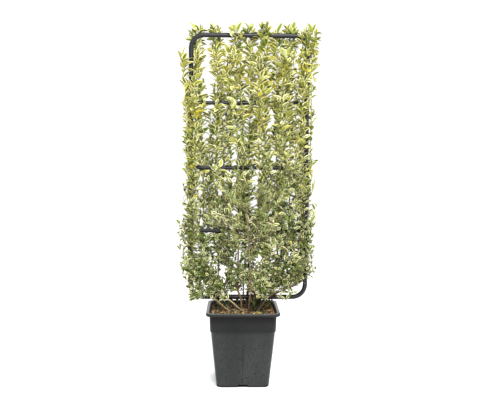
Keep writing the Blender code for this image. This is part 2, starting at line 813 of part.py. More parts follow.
class Mass:
    # One mass of foliage: its space, its pieces so far and its own dice.
    def __init__(self, name, low, high, blocked, seed):
        self.name = name
        self.low = Vector(low) + Vector((gap, gap, gap))
        self.high = Vector(high) - Vector((gap, gap, gap))
        self.blocked = blocked
        self.dice = random.Random(seed)
        self.pieces = []
        self.surfaces = []

    def fits(self, mesh, matrix):
        points = [matrix @ vert.co for vert in mesh.vertices]
        for point in points:
            for axis in range(3):
                if not self.low[axis] <= point[axis] <= self.high[axis]:
                    return False
        faces = [list(face.vertices) for face in mesh.polygons]
        return not BVHTree.FromPolygons(points, faces).overlap(self.blocked)

    def crowded(self, mesh, matrix):
        # Whether the piece crosses an earlier leaf anywhere past its own root.
        points = [matrix @ Vector((vert.co.x, vert.co.y, max(vert.co.z, free_root))) for vert in mesh.vertices]
        surface = BVHTree.FromPolygons(points, [list(face.vertices) for face in mesh.polygons])
        if any(surface.overlap(earlier) for earlier in self.surfaces):
            return True
        self.surfaces.append(surface)
        return False

    def place(self, mesh, root, across, normal, along, size):
        # Adds a piece if it and a clear skin round it fit. Size is width, thickness and length.
        turn = Matrix((across, normal, along)).transposed().to_4x4()
        skin = Matrix.Diagonal([part + 2 * leaf_clearance for part in size] + [1])
        lowered = Matrix.Translation(root - along * leaf_clearance)
        seat = Matrix.Translation(root) @ turn @ Matrix.Diagonal([*size, 1])
        if not self.fits(mesh, lowered @ turn @ skin) or self.crowded(mesh, seat):
            return False
        piece = bpy.data.objects.new(f"{self.name}_piece", mesh)
        piece.matrix_world = seat
        self.pieces.append(piece)
        return True

    def leaf(self, mesh, point, axis, out, spread, twist):
        # A leaf that leaves its axis by an angle and is turned about its own midrib. Where it
        # doesn't fit, it is tried again a little shorter and turned aside, and then left out.
        share = min(max((point.z - leaf_grows_from) / leaf_grows_over, 0), 1)
        length, width, thickness = [
            low + (high - low) * share for low, high in zip(leaf_low, leaf_high)
        ]
        for attempt in range(leaf_tries):
            astray = leaf_retry_turn * attempt
            aside = Matrix.Rotation(self.dice.uniform(-astray, astray), 3, axis)
            opened = spread + self.dice.uniform(-astray, astray) / 2
            along = (axis * math.cos(opened) + (aside @ out) * math.sin(opened)).normalized()
            normal = (axis - along * axis.dot(along)).normalized()
            normal.rotate(Matrix.Rotation(twist + self.dice.uniform(-astray, astray), 3, along))
            across = normal.cross(along)
            grow = self.dice.uniform(leaf_shortest, leaf_longest) * leaf_retry_size**attempt
            size = (width * grow, thickness, length * grow)
            if self.place(mesh, point - along * leaf_sunk, across, normal, along, size):
                return

    def twig(self, meshes, point, along, length, radius):
        # A straight side twig with a pair or two of leaves and one at its tip.
        leaf, twig = meshes
        side = along.orthogonal().normalized()
        side.rotate(Matrix.Rotation(self.dice.uniform(0, math.tau), 3, along))
        other = along.cross(side)
        if not self.place(twig, point, side, other, along, (radius, radius, length)):
            return
        pairs = [(twig_first_pair, other)]
        if length > twig_two_pairs:
            pairs.append((twig_second_pair, side))
        for share, out in pairs:
            spot = point + along * length * share
            for sign in (1, -1):
                spread = self.dice.uniform(*twig_leaf_angle)
                self.leaf(leaf, spot, along, out * sign, spread, self.dice.uniform(*twig_leaf_twist))
        end = point + along * length * twig_end_leaf
        self.leaf(leaf, end, along, side, twig_tip_angle, self.dice.uniform(*twig_tip_twist))


def level(angle):
    return Vector((math.cos(angle), math.sin(angle), 0))


def build_shoot(number, meshes, blocked, low_x, high_x, material, collection):
    # One upright shoot: leaves in pairs up its stem, and short side twigs on its lower half.
    side = shoot_side(number)
    foot = shoots[number].foot
    path = shoot_path(number)
    depth = sorted((side * gap, side * shoot_depth))
    name = f"foliage_shoot_{number + 1:02d}"
    low = (low_x, depth[0], foot - shoot_space_below)
    high = (high_x, depth[1], crown_top)
    mass = Mass(name, low, high, blocked, shoot_seed + number)
    dice = mass.dice
    start = path[0] + (path[1] - path[0]).normalized() * gap
    radii = taper(len(path), shoot_foot_radius, shoot_tip_radius)
    stem = add_object(name, swept_mesh([start] + path[1:], radii, inner_sides), material, collection)
    outward = side * math.pi / 2
    count = round((path[-1].z - foot) / shoot_node_step)
    for node in range(1, count):
        share = (node - shoot_node_lower + dice.uniform(-shoot_node_stray, shoot_node_stray)) / count
        point, axis = path_point(path, share)
        sideways = node % 2 == 1
        lean = shoot_side_lean if sideways else shoot_front_lean
        bushy = point.z < bushy_below and node % bushy_every == 0
        for sign in (1, -1):
            out = level(outward + sign * (lean + dice.uniform(-shoot_turn_stray, shoot_turn_stray)))
            if bushy:
                aim = (axis * side_twig_rise + out).normalized()
                mass.twig(meshes, point, aim, dice.uniform(*side_twig_length), side_twig_radius)
            else:
                twist = dice.uniform(*(leaf_edge_twist if sideways else leaf_flat_twist))
                mass.leaf(meshes[0], point, axis, out, dice.uniform(*leaf_angle), sign * twist)
    point, axis = path_point(path, 1)
    for sign in (1, -1):
        out = level(dice.uniform(-top_leaf_aside, top_leaf_aside)) * sign
        twist = sign * dice.uniform(*top_leaf_twist)
        mass.leaf(meshes[0], point, axis, out, dice.uniform(*top_leaf_angle), twist)
    union_all(stem, mass.pieces, name)


def build_low_mass(number, meshes, blocked, material, collection):
    # One bushy mass near the foot: side twigs stand off a short stem on both sides.
    word, foot, end, low, high = low_masses[number]
    name = f"foliage_low_{word}"
    mass = Mass(name, low, high, blocked, low_seed + number)
    dice = mass.dice
    path = low_path(foot, end)
    upright = abs((path[-1] - path[0]).normalized().z) > low_upright_from
    path[0] = path[0] + (path[1] - path[0]).normalized() * gap
    radii = taper(len(path), low_foot_radius, low_tip_radius)
    stem = add_object(name, swept_mesh(path, radii, inner_sides), material, collection)
    nodes = low_nodes_upright if upright else low_nodes_level
    for node in range(nodes):
        point, axis = path_point(path, (node + low_node_raise) / nodes)
        for sign in (1, -1):
            across = Vector((1, 0, 0)) if upright else Vector((0, 0, 1))
            tilt = Vector((0, dice.uniform(-low_twig_tilt, low_twig_tilt), 0))
            aim = (across * sign + axis * dice.uniform(*low_twig_rise) + tilt).normalized()
            longest = low_twig_upright if upright else low_twig_level
            length = dice.uniform(low_twig_shortest, 1) * longest
            mass.twig(meshes, point, aim, length, low_twig_radius)
        outward = Vector((0, math.copysign(1, path[0].y), 0))
        mass.leaf(meshes[0], point, axis, outward, low_leaf_angle, low_leaf_twist)
    union_all(stem, mass.pieces, name)


def build_foliage(material, collection):
    meshes = (leaf_blank(), twig_blank())
    standing = [thing for thing in collection.objects if thing.type == "MESH"]
    blocked = tree_of(standing)
    for side in ("front", "back"):
        numbers = [number for number, shoot in enumerate(shoots) if shoot.side == side]
        places = [(shoots[number].foot_x + shoots[number].tip_x) / 2 for number in numbers]
        edges = [crown_left] + [(a + b) / 2 for a, b in zip(places, places[1:])] + [crown_right]
        for number, low_x, high_x in zip(numbers, edges, edges[1:]):
            build_shoot(number, meshes, blocked, low_x, high_x, material, collection)
    for number in range(len(low_masses)):
        build_low_mass(number, meshes, blocked, material, collection)


def main():
    clear_scene()
    collection = new_collection("potted_golden_privet_espalier")
    cutters = new_collection("cutters")
    pot_material = make_material("pot_plastic", (0.055, 0.058, 0.057), 0.55)
    soil_material = make_material("soil", (0.045, 0.028, 0.018), 0.95)
    frame_material = make_material("coated_tube", (0.022, 0.022, 0.025), 0.38)
    bark_material = make_material("bark", (0.21, 0.12, 0.06), 0.8)
    tie_material = make_material("black_ties", (0.012, 0.012, 0.013), 0.45)
    leaf_material = make_material("privet_leaves", (0.42, 0.46, 0.14), 0.6)
    build_pot(pot_material, collection, cutters)
    build_soil(soil_material, collection)
    build_frame(frame_material, collection, cutters)
    build_limbs(bark_material, collection)
    build_ties(tie_material, collection)
    build_foliage(leaf_material, collection)


main()
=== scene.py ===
import math
import random

import bmesh
import bpy
from mathutils import Matrix, Vector, noise
from mathutils.bvhtree import BVHTree


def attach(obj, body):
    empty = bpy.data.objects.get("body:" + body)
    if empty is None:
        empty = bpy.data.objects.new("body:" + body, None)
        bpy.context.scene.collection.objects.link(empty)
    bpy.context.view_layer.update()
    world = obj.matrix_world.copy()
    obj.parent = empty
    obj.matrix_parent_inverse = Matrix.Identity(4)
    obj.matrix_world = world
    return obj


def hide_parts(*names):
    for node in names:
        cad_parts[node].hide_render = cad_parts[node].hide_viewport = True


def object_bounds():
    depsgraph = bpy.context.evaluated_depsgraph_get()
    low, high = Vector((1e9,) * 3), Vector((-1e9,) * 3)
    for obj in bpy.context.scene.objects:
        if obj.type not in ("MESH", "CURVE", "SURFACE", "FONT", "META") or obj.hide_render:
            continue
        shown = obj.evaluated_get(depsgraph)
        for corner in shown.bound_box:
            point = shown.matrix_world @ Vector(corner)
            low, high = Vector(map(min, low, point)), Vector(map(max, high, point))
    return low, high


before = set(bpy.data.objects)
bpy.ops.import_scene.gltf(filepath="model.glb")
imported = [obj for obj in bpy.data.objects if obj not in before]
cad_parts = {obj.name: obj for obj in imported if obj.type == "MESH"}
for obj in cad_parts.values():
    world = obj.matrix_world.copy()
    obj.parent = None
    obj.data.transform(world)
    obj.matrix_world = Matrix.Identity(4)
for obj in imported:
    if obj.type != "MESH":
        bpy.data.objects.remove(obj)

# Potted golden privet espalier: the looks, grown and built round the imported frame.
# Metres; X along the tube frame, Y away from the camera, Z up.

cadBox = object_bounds()
up = Vector((0, 0, 1))


# small tools

def colourOf(code):
    # A colour as the eye names it, turned into the linear values that shaders take.
    parts = [int(code[place:place + 2], 16) / 255 for place in (1, 3, 5)]
    return tuple(part / 12.92 if part <= 0.04045 else ((part + 0.055) / 1.055) ** 2.4 for part in parts)


def level(angle):
    return Vector((math.cos(angle), math.sin(angle), 0))


def mix(low, high, share):
    return low + (high - low) * share


def emptyBundle():
    return {"points": [], "faces": []}


def addToBundle(bundle, points, faces):
    start = len(bundle["points"])
    bundle["points"] += points
    bundle["faces"] += [tuple(start + corner for corner in face) for face in faces]


def meshOf(name, bundle):
    mesh = bpy.data.meshes.new(name)
    mesh.from_pydata([tuple(point) for point in bundle["points"]], [], bundle["faces"])
    mesh.validate()
    return mesh


def addPiece(name, mesh, material, replaced=(), smoothAngle=None):
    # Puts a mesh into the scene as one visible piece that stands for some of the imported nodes.
    mesh.materials.clear()
    mesh.materials.append(material)
    piece = bpy.data.objects.new(name, mesh)
    bpy.context.scene.collection.objects.link(piece)
    mesh.shade_smooth()
    if smoothAngle is not None:
        mesh.set_sharp_from_angle(angle=math.radians(smoothAngle))
    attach(piece, "root")
    if replaced:
        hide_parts(*replaced)
    return piece


def finishedMesh(piece):
    # The mesh with its modifiers worked in.
    graph = bpy.context.evaluated_depsgraph_get()
    return bpy.data.meshes.new_from_object(piece.evaluated_get(graph))


def outwards(mesh):
    work = bmesh.new()
    work.from_mesh(mesh)
    bmesh.ops.recalc_face_normals(work, faces=work.faces)
    work.to_mesh(mesh)
    work.free()
    return mesh


def smoothPath(anchors, steps):
    # A smooth curve through a few anchors, sampled evenly between each pair.
    ends = [2 * anchors[0] - anchors[1]] + list(anchors) + [2 * anchors[-1] - anchors[-2]]
    points = []
    for before, start, end, after in zip(ends, ends[1:], ends[2:], ends[3:]):
        for step in range(steps):
            t = step / steps
            points.append(0.5 * (
                2 * start + (end - before) * t
                + (2 * before - 5 * start + 4 * end - after) * t * t
                + (3 * start - before - 3 * end + after) * t ** 3))
    points.append(anchors[-1].copy())
    return points


def alongPath(points, share):
    # Point and direction at a share of the way along a path of even steps.
    place = min(share * (len(points) - 1), len(points) - 1.000001)
    index = int(place)
    start, end = points[index], points[index + 1]
    return start.lerp(end, place - index), (end - start).normalized()


def finerPath(points, radii, step):
    # The same limb with a ring at every step.
    finePoints, fineRadii = [], []
    for start, end, first, last in zip(points, points[1:], radii, radii[1:]):
        count = max(1, round((end - start).length / step))
        for part in range(count):
            finePoints.append(start.lerp(end, part / count))
            fineRadii.append(mix(first, last, part / count))
    return finePoints + [points[-1]], fineRadii + [radii[-1]]


def sweep(bundle, points, radii, sides, relief=None, tip=False):
    # A round limb along a path. The relief gives a point on its skin a share of its radius.
    rings = []
    side = None
    for number, point in enumerate(points):
        before = points[max(number - 1, 0)]
        after = points[min(number + 1, len(points) - 1)]
        aim = (after - before).normalized()
        side = aim.orthogonal().normalized() if side is None else (side - aim * aim.dot(side)).normalized()
        other = aim.cross(side)
        ring = []
        for corner in range(sides):
            turn = math.tau * corner / sides
            out = side * math.cos(turn) + other * math.sin(turn)
            swell = relief(point + out * radii[number], turn, number) if relief else 1
            ring.append(point + out * radii[number] * swell)
        rings.append(ring)
    faces = []
    for number in range(len(rings) - 1):
        low, high = number * sides, (number + 1) * sides
        for corner in range(sides):
            following = (corner + 1) % sides
            faces.append((low + corner, low + following, high + following, high + corner))
    last = (len(rings) - 1) * sides
    skin = [point for ring in rings for point in ring]
    faces.append(tuple(reversed(range(sides))))
    if tip:
        skin.append(points[-1] + (points[-1] - points[-2]).normalized() * radii[-1] * 1.5)
        faces += [(last + corner, last + (corner + 1) % sides, len(skin) - 1) for corner in range(sides)]
    else:
        faces.append(tuple(last + corner for corner in range(sides)))
    addToBundle(bundle, skin, faces)


# materials

def newMaterial(name, **values):
    # A Principled material with fixed values on its own sockets.
    material = bpy.data.materials.new(name)
    material.use_nodes = True
    shader = material.node_tree.nodes["Principled BSDF"]
    for socket, value in values.items():
        words = {
            "ior": "IOR", "shine": "Specular IOR Level", "coat": "Coat Weight", "coatRoughness": "Coat Roughness"}
        shader.inputs[words.get(socket, socket.capitalize())].default_value = value
    return material, material.node_tree, shader


def addNode(tree, kind, **values):
    node = tree.nodes.new(kind)
    for name, value in values.items():
        setattr(node, name, value)
    return node


def noiseOf(tree, scale, detail=3.0, roughness=0.55, stretch=(1, 1, 1)):
    # Noise fixed to the piece, in metres.
    place = addNode(tree, "ShaderNodeTexCoord")
    mapping = addNode(tree, "ShaderNodeMapping")
    mapping.inputs["Scale"].default_value = stretch
    pattern = addNode(tree, "ShaderNodeTexNoise")
    pattern.inputs["Scale"].default_value = scale
    pattern.inputs["Detail"].default_value = detail
    pattern.inputs["Roughness"].default_value = roughness
    tree.links.new(place.outputs["Object"], mapping.inputs["Vector"])
    tree.links.new(mapping.outputs["Vector"], pattern.inputs["Vector"])
    return pattern.outputs["Fac"]


def rampOf(tree, factor, stops):
    ramp = addNode(tree, "ShaderNodeValToRGB")
    elements = ramp.color_ramp.elements
    while len(elements) < len(stops):
        elements.new(0.5)
    for element, (place, code) in zip(elements, stops):
        element.position = place
        element.color = (*colourOf(code), 1)
    tree.links.new(factor, ramp.inputs["Fac"])
    return ramp.outputs["Color"]


def rangeOf(tree, factor, low, high):
    spread = addNode(tree, "ShaderNodeMapRange")
    spread.inputs["To Min"].default_value = low
    spread.inputs["To Max"].default_value = high
    tree.links.new(factor, spread.inputs["Value"])
    return spread.outputs["Result"]


def addBump(tree, shader, height, strength, distance):
    bump = addNode(tree, "ShaderNodeBump")
    bump.inputs["Strength"].default_value = strength
    bump.inputs["Distance"].default_value = distance
    tree.links.new(height, bump.inputs["Height"])
    tree.links.new(bump.outputs["Normal"], shader.inputs["Normal"])


potFinish = {
    # zone: from what height up, specular level, roughness low and high
    "potBody": (0.0, 0.22, 0.30, 0.46), "potCollar": (0.2395, 0.18, 0.44, 0.60), "potShade": (0.2870, 0.05, 0.55, 0.70),
    # the notch zone is near-black, a painted shade in the notches and the seam's groove
    "potRim": (0.3047, 0.28, 0.28, 0.42), "potLandHighlight": (0.3176, 0.45, 0.22, 0.36), "potNotchShade": (1.0, 0.05, 0.7, 0.8),
    # colours of the plastic, and the paler colours of its upper land, a painted highlight
    "dark": "#202322", "main": "#292C2B", "pale": "#383B38", "speck": "#060706",
    "landHighlightDark": "#40443F", "landHighlightMain": "#525752", "landHighlightPale": "#767C76",
    "speckScale": 190.0, "speckFrom": 0.36, "speckSoft": 0.06, "cloudScale": 7.0, "grainScale": 700.0, "grainHeight": 0.00016,
    # height in metres, and the grey that the plastic's colour is multiplied by: paler towards the foot, painted shade
    # on the collar, a painted shadow under the rim, a darker rim face and a painted highlight on the land
    "heights": (
        (0.0, "#FFFFFF"), (0.10, "#F0F0F0"), (0.225, "#D4D4D4"), (0.238, "#9E9E9E"), (0.270, "#989898"), (0.287, "#606060"),
        (0.3035, "#181818"), (0.3060, "#5C5C5C"), (0.3140, "#707070"), (0.3174, "#FFFFFF")),
}


def makePotMaterial(zone):
    start, shine, roughLow, roughHigh = potFinish[zone]
    material, tree, shader = newMaterial(zone, ior=1.49, shine=shine)
    cloud = noiseOf(tree, potFinish["cloudScale"], 5.0, 0.6, (1, 1, 0.35))
    # The land's paler colours are a painted highlight.
    tones = {"potLandHighlight": ("landHighlightDark", "landHighlightMain", "landHighlightPale"), "potNotchShade": ("speck", "speck", "dark")}
    # The notch zone's near-black colours are a painted shade.
    words = tones.get(zone, ("dark", "main", "pale"))
    stops = tuple(zip((0.3, 0.5, 0.75), (potFinish[word] for word in words)))
    speck = noiseOf(tree, potFinish["speckScale"], 3.0, 0.6, (0.8, 0.8, 1.0))
    fromPlace, soft = potFinish["speckFrom"], potFinish["speckSoft"]
    shade = rampOf(tree, speck, ((fromPlace, "#000000"), (fromPlace + soft, "#FFFFFF")))
    blend = addNode(tree, "ShaderNodeMix", data_type="RGBA")
    blend.inputs["A"].default_value = (*colourOf(potFinish["speck"]), 1)
    tree.links.new(rampOf(tree, cloud, stops), blend.inputs["B"])
    tree.links.new(shade, blend.inputs["Factor"])
    # Paler towards the foot, painted shade on the collar, a painted shadow under the rim and a painted highlight on the
    # rim's land.
    place = addNode(tree, "ShaderNodeTexCoord")
    parts = addNode(tree, "ShaderNodeSeparateXYZ")
    tree.links.new(place.outputs["Object"], parts.inputs["Vector"])
    tone = addNode(tree, "ShaderNodeMix", data_type="RGBA", blend_type="MULTIPLY")
    tone.inputs["Factor"].default_value = 1.0
    tree.links.new(blend.outputs["Result"], tone.inputs["A"])
    tree.links.new(rampOf(tree, parts.outputs["Z"], potFinish["heights"]), tone.inputs["B"])
    tree.links.new(tone.outputs["Result"], shader.inputs["Base Color"])
    tree.links.new(rangeOf(tree, noiseOf(tree, 40.0), roughLow, roughHigh), shader.inputs["Roughness"])
    addBump(tree, shader, noiseOf(tree, potFinish["grainScale"]), 0.5, potFinish["grainHeight"])
    return material


tubeFinish = {
    "dark": "#101012", "main": "#17171A", "scuff": "#26262A",
    "scuffScale": 26.0, "grainScale": 700.0, "grainHeight": 0.0001, "roughLow": 0.28, "roughHigh": 0.45,
}


def makeTubeMaterial():
    material, tree, shader = newMaterial("coatedTube", ior=1.5, shine=0.32)
    scuff = noiseOf(tree, tubeFinish["scuffScale"], 6.0, 0.65)
    stops = ((0.35, tubeFinish["dark"]), (0.6, tubeFinish["main"]), (0.8, tubeFinish["scuff"]))
    tree.links.new(rampOf(tree, scuff, stops), shader.inputs["Base Color"])
    rough = rangeOf(tree, scuff, tubeFinish["roughLow"], tubeFinish["roughHigh"])
    tree.links.new(rough, shader.inputs["Roughness"])
    addBump(tree, shader, noiseOf(tree, tubeFinish["grainScale"], 2.0), 0.4, tubeFinish["grainHeight"])
    return material


barkFinish = {
    "grey": ("#3C2E22", "#5A4633", "#7A6349"),
    "orange": ("#4A3520", "#6C5132", "#8C6E48"),
    "red": ("#32241A", "#4C3828", "#6A513C"),
    "tan": ("#9A8258", "#C6AC7C", "#E0CCA0"),
    "green": ("#5F6A2C", "#7F8A3E", "#A6A858"),
    "brown": ("#4A3E30", "#6C5D49", "#8C7E66"),
}


# height in metres, and the grey that the bark's colour is multiplied by: a painted shade just above the soil
barkShadeHeights = ((0.300, "#8A8A8A"), (0.335, "#D0D0D0"), (0.365, "#FFFFFF"))


def makeBarkMaterial(name):
    material, tree, shader = newMaterial(f"{name}Bark", ior=1.45)
    streaks = noiseOf(tree, 160.0, 5.0, 0.65, (1, 1, 0.16))
    dark, main, pale = barkFinish[name]
    # Painted shade darkens the bark just above the soil.
    place = addNode(tree, "ShaderNodeTexCoord")
    parts = addNode(tree, "ShaderNodeSeparateXYZ")
    tree.links.new(place.outputs["Object"], parts.inputs["Vector"])
    tone = addNode(tree, "ShaderNodeMix", data_type="RGBA", blend_type="MULTIPLY")
    tone.inputs["Factor"].default_value = 1.0
    tree.links.new(rampOf(tree, streaks, ((0.3, dark), (0.5, main), (0.72, pale))), tone.inputs["A"])
    tree.links.new(rampOf(tree, parts.outputs["Z"], barkShadeHeights), tone.inputs["B"])
    tree.links.new(tone.outputs["Result"], shader.inputs["Base Color"])
    tree.links.new(rangeOf(tree, streaks, 0.62, 0.85), shader.inputs["Roughness"])
    addBump(tree, shader, noiseOf(tree, 420.0, 4.0, 0.6, (1, 1, 0.3)), 0.6, 0.0004)
    return material


# Leaf hearts and leaf edges, each a plain colour that is dealt out by spray.
leafFinish = {
    "heartDeep": "#24380F", "heartGreen": "#4A6223", "heartOlive": "#707D33", "heartLime": "#959B45",
    "edgeCream": "#F3EAB6", "edgeYellow": "#E2D278", "edgePale": "#D8D8A2", "wholeYellow": "#C2BA44",
    "roughness": 0.40, "grainScale": 260.0, "grainHeight": 0.0003,
}


def makeLeafMaterial(name):
    material, tree, shader = newMaterial(f"{name}Leaf", ior=1.45, roughness=leafFinish["roughness"])
    shader.inputs["Base Color"].default_value = (*colourOf(leafFinish[name]), 1)
    addBump(tree, shader, noiseOf(tree, leafFinish["grainScale"], 2.0), 0.35, leafFinish["grainHeight"])
    return material


groundFinish = {
    "compost": (("#241C12", "#4A3D28", "#705F41"), 0.95),
    "chipDark": (("#3A2416", "#553721", "#6B4A2E"), 0.85),
    "chipOrange": (("#7A5231", "#A5774B", "#C3996B"), 0.8),
    "chipPale": (("#8C7048", "#B0946A", "#CBB48C"), 0.8),
    "moss": (("#3C4A1C", "#5E6F2A", "#7F8F3C"), 0.9),
}


def makeGroundMaterial(name):
    codes, roughness = groundFinish[name]
    material, tree, shader = newMaterial(f"{name}Ground", ior=1.45, roughness=roughness)
    speckle = noiseOf(tree, 120.0, 6.0, 0.7)
    stops = tuple(zip((0.32, 0.5, 0.7), codes))
    tree.links.new(rampOf(tree, speckle, stops), shader.inputs["Base Color"])
    addBump(tree, shader, noiseOf(tree, 500.0, 4.0, 0.6), 0.7, 0.0008)
    return material


def makeTieMaterial():
    material, tree, shader = newMaterial("blackTie", ior=1.5)
    tone = noiseOf(tree, 60.0)
    tree.links.new(rampOf(tree, tone, ((0.3, "#141416"), (0.7, "#222225"))), shader.inputs["Base Color"])
    tree.links.new(rangeOf(tree, tone, 0.35, 0.5), shader.inputs["Roughness"])
    return material


# camera, floor and light

cameraValues = {
    "place": (-0.05, -2.79, 0.896), "yaw": 1.62, "pitch": -2.38, "roll": 0.35,
    "focalPixels": 650.0, "frameWidth": 500.0, "sensor": 36.0,
}


def addCamera():
    values = cameraValues
    data = bpy.data.cameras.new("photoCamera")
    data.sensor_width = values["sensor"]
    data.lens = values["sensor"] * values["focalPixels"] / values["frameWidth"]
    camera = bpy.data.objects.new("photoCamera", data)
    bpy.context.scene.collection.objects.link(camera)
    turn = Matrix.Rotation(math.radians(-values["yaw"]), 4, "Z")
    tilt = Matrix.Rotation(math.radians(90 + values["pitch"]), 4, "X")
    roll = Matrix.Rotation(math.radians(values["roll"]), 4, "Z")
    camera.matrix_world = Matrix.Translation(values["place"]) @ turn @ tilt @ roll
    bpy.context.scene.camera = camera


stageValues = {
    "floorRadius": 40.0, "floorColour": "#FDFDFC", "skyColour": "#FFFFFF", "skyStrength": 1.08,
    "lights": (
        # name, place, power, size
        ("keyLight", (0.35, -2.8, 3.3), 184.0, 1.4),
        ("fillLight", (2.8, -2.0, 1.8), 22.0, 1.6),
        ("backLight", (0.8, 2.6, 3.0), 40.0, 2.4),
    ),
}


def addStage():
    values = stageValues
    work = bmesh.new()
    bmesh.ops.create_circle(work, cap_ends=True, segments=96, radius=values["floorRadius"])
    mesh = bpy.data.meshes.new("paleFloor")
    work.to_mesh(mesh)
    work.free()
    material, tree, shader = newMaterial("paleFloor", roughness=0.9)
    shader.inputs["Base Color"].default_value = (*colourOf(values["floorColour"]), 1)
    mesh.materials.append(material)
    floor = bpy.data.objects.new("paleFloor", mesh)
    bpy.context.scene.collection.objects.link(floor)
    world = bpy.data.worlds.new("studio")
    bpy.context.scene.world = world
    world.use_nodes = True
    sky = world.node_tree.nodes["Background"]
    sky.inputs["Color"].default_value = (*colourOf(values["skyColour"]), 1)
    sky.inputs["Strength"].default_value = values["skyStrength"]
    for name, place, power, size in values["lights"]:
        data = bpy.data.lights.new(name, "AREA")
        data.energy = power
        data.size = size
        light = bpy.data.objects.new(name, data)
        light.location = place
        aim = Vector((0.02, 0, 0.75)) - Vector(place)
        light.rotation_euler = aim.to_track_quat("-Z", "Y").to_euler()
        bpy.context.scene.collection.objects.link(light)
    bpy.context.scene.view_settings.view_transform = "Standard"


# pot

potValues = {
    "height": 0.318, "rimHalf": 0.1545, "cornerRadius": 0.029, "baseHalf": 0.1095,
    "bodyTopHalf": 0.1338, "bodyTopZ": 0.2340, "collarLowHalf": 0.1367, "collarLowZ": 0.2395,
    "collarTopHalf": 0.1402, "rimBand": 0.0135, "rimLand": 0.013, "wall": 0.003, "floor": 0.016,
    "rounding": 0.008, "notchWidth": 0.040, "notchHeight": 0.012, "notchDepth": 0.008,
    "cornerSteps": 9, "seamWidth": 0.0013, "seamDepth": 0.0012, "seamTop": 0.170,
}


def squareRing(half, height, radius):
    # One ring of a rounded square, the same number of points at any size.
    steps = potValues["cornerSteps"]
    points = []
    for quarter in range(4):
        start = quarter * math.pi / 2
        arm = half - radius
        middle = Matrix.Rotation(start, 3, "Z") @ Vector((arm, arm, 0))
        for step in range(steps + 1):
            points.append(middle + level(start + math.pi / 2 * step / steps) * radius + up * height)
    return points


def wallHalf(height):
    # Half width of the outer wall between the base and the collar's top.
    pot = potValues
    stops = (
        (0.0, pot["baseHalf"]), (pot["bodyTopZ"], pot["bodyTopHalf"]),
        (pot["collarLowZ"], pot["collarLowHalf"]), (pot["height"], pot["collarTopHalf"]))
    for (low, lowHalf), (high, highHalf) in zip(stops, stops[1:]):
        if height <= high:
            return mix(lowHalf, highHalf, (height - low) / (high - low))
    return stops[-1][1]


def potProfile():
    # Half width and height from the underside up the outside, over the rim and down the inside.
    pot = potValues
    underRim = pot["height"] - pot["rimBand"]
    top = pot["height"]
    rim = pot["rimHalf"]
    rounding = pot["rounding"]
    profile = []
    for step in range(6):
        turn = math.pi / 2 * step / 5
        profile.append((
            wallHalf(rounding) - rounding * (1 - math.sin(turn)),
            rounding * (1 - math.cos(turn))))
    ledge = pot["collarLowHalf"] - pot["bodyTopHalf"]
    profile += [
        (wallHalf(0.08), 0.08), (wallHalf(0.15), 0.15),
        (pot["bodyTopHalf"] - 0.0002, pot["bodyTopZ"] - 0.001), (pot["bodyTopHalf"] + 0.0004, pot["bodyTopZ"] + 0.0006),
        (pot["bodyTopHalf"] + ledge * 0.8, pot["collarLowZ"] - 0.0022),
        (pot["collarLowHalf"] - 0.0004, pot["collarLowZ"] - 0.0008), (pot["collarLowHalf"] + 0.0002, pot["collarLowZ"] + 0.001),
        (pot["collarTopHalf"] - 0.0006, underRim - 0.002), (pot["collarTopHalf"] + 0.0006, underRim - 0.0004),
        (rim - 0.0045, underRim), (rim - 0.0022, underRim + 0.0009), (rim - 0.0006, underRim + 0.0028),
        (rim, underRim + 0.005), (rim, top - 0.0045), (rim - 0.0007, top - 0.0020),
        (rim - 0.0020, top - 0.0006), (rim - 0.0036, top),
        (rim - pot["rimLand"] + 0.002, top), (rim - pot["rimLand"] + 0.0004, top - 0.0008),
        (rim - pot["rimLand"] - 0.0006, top - 0.003),
        (wallHalf(top) - pot["wall"] + 0.0008, top - 0.006), (wallHalf(underRim) - pot["wall"], underRim),
        (wallHalf(pot["collarLowZ"]) - pot["wall"], pot["collarLowZ"]),
        (wallHalf(pot["bodyTopZ"]) - pot["wall"], pot["bodyTopZ"]),
        (wallHalf(pot["floor"]) - pot["wall"], pot["floor"])]
    return profile


def boxBundle(low, high):
    points = [Vector((x, y, z)) for x in (low[0], high[0]) for y in (low[1], high[1]) for z in (low[2], high[2])]
    faces = [(0, 1, 3, 2), (4, 6, 7, 5), (0, 4, 5, 1), (2, 3, 7, 6), (0, 2, 6, 4), (1, 5, 7, 3)]
    return {"points": points, "faces": faces}


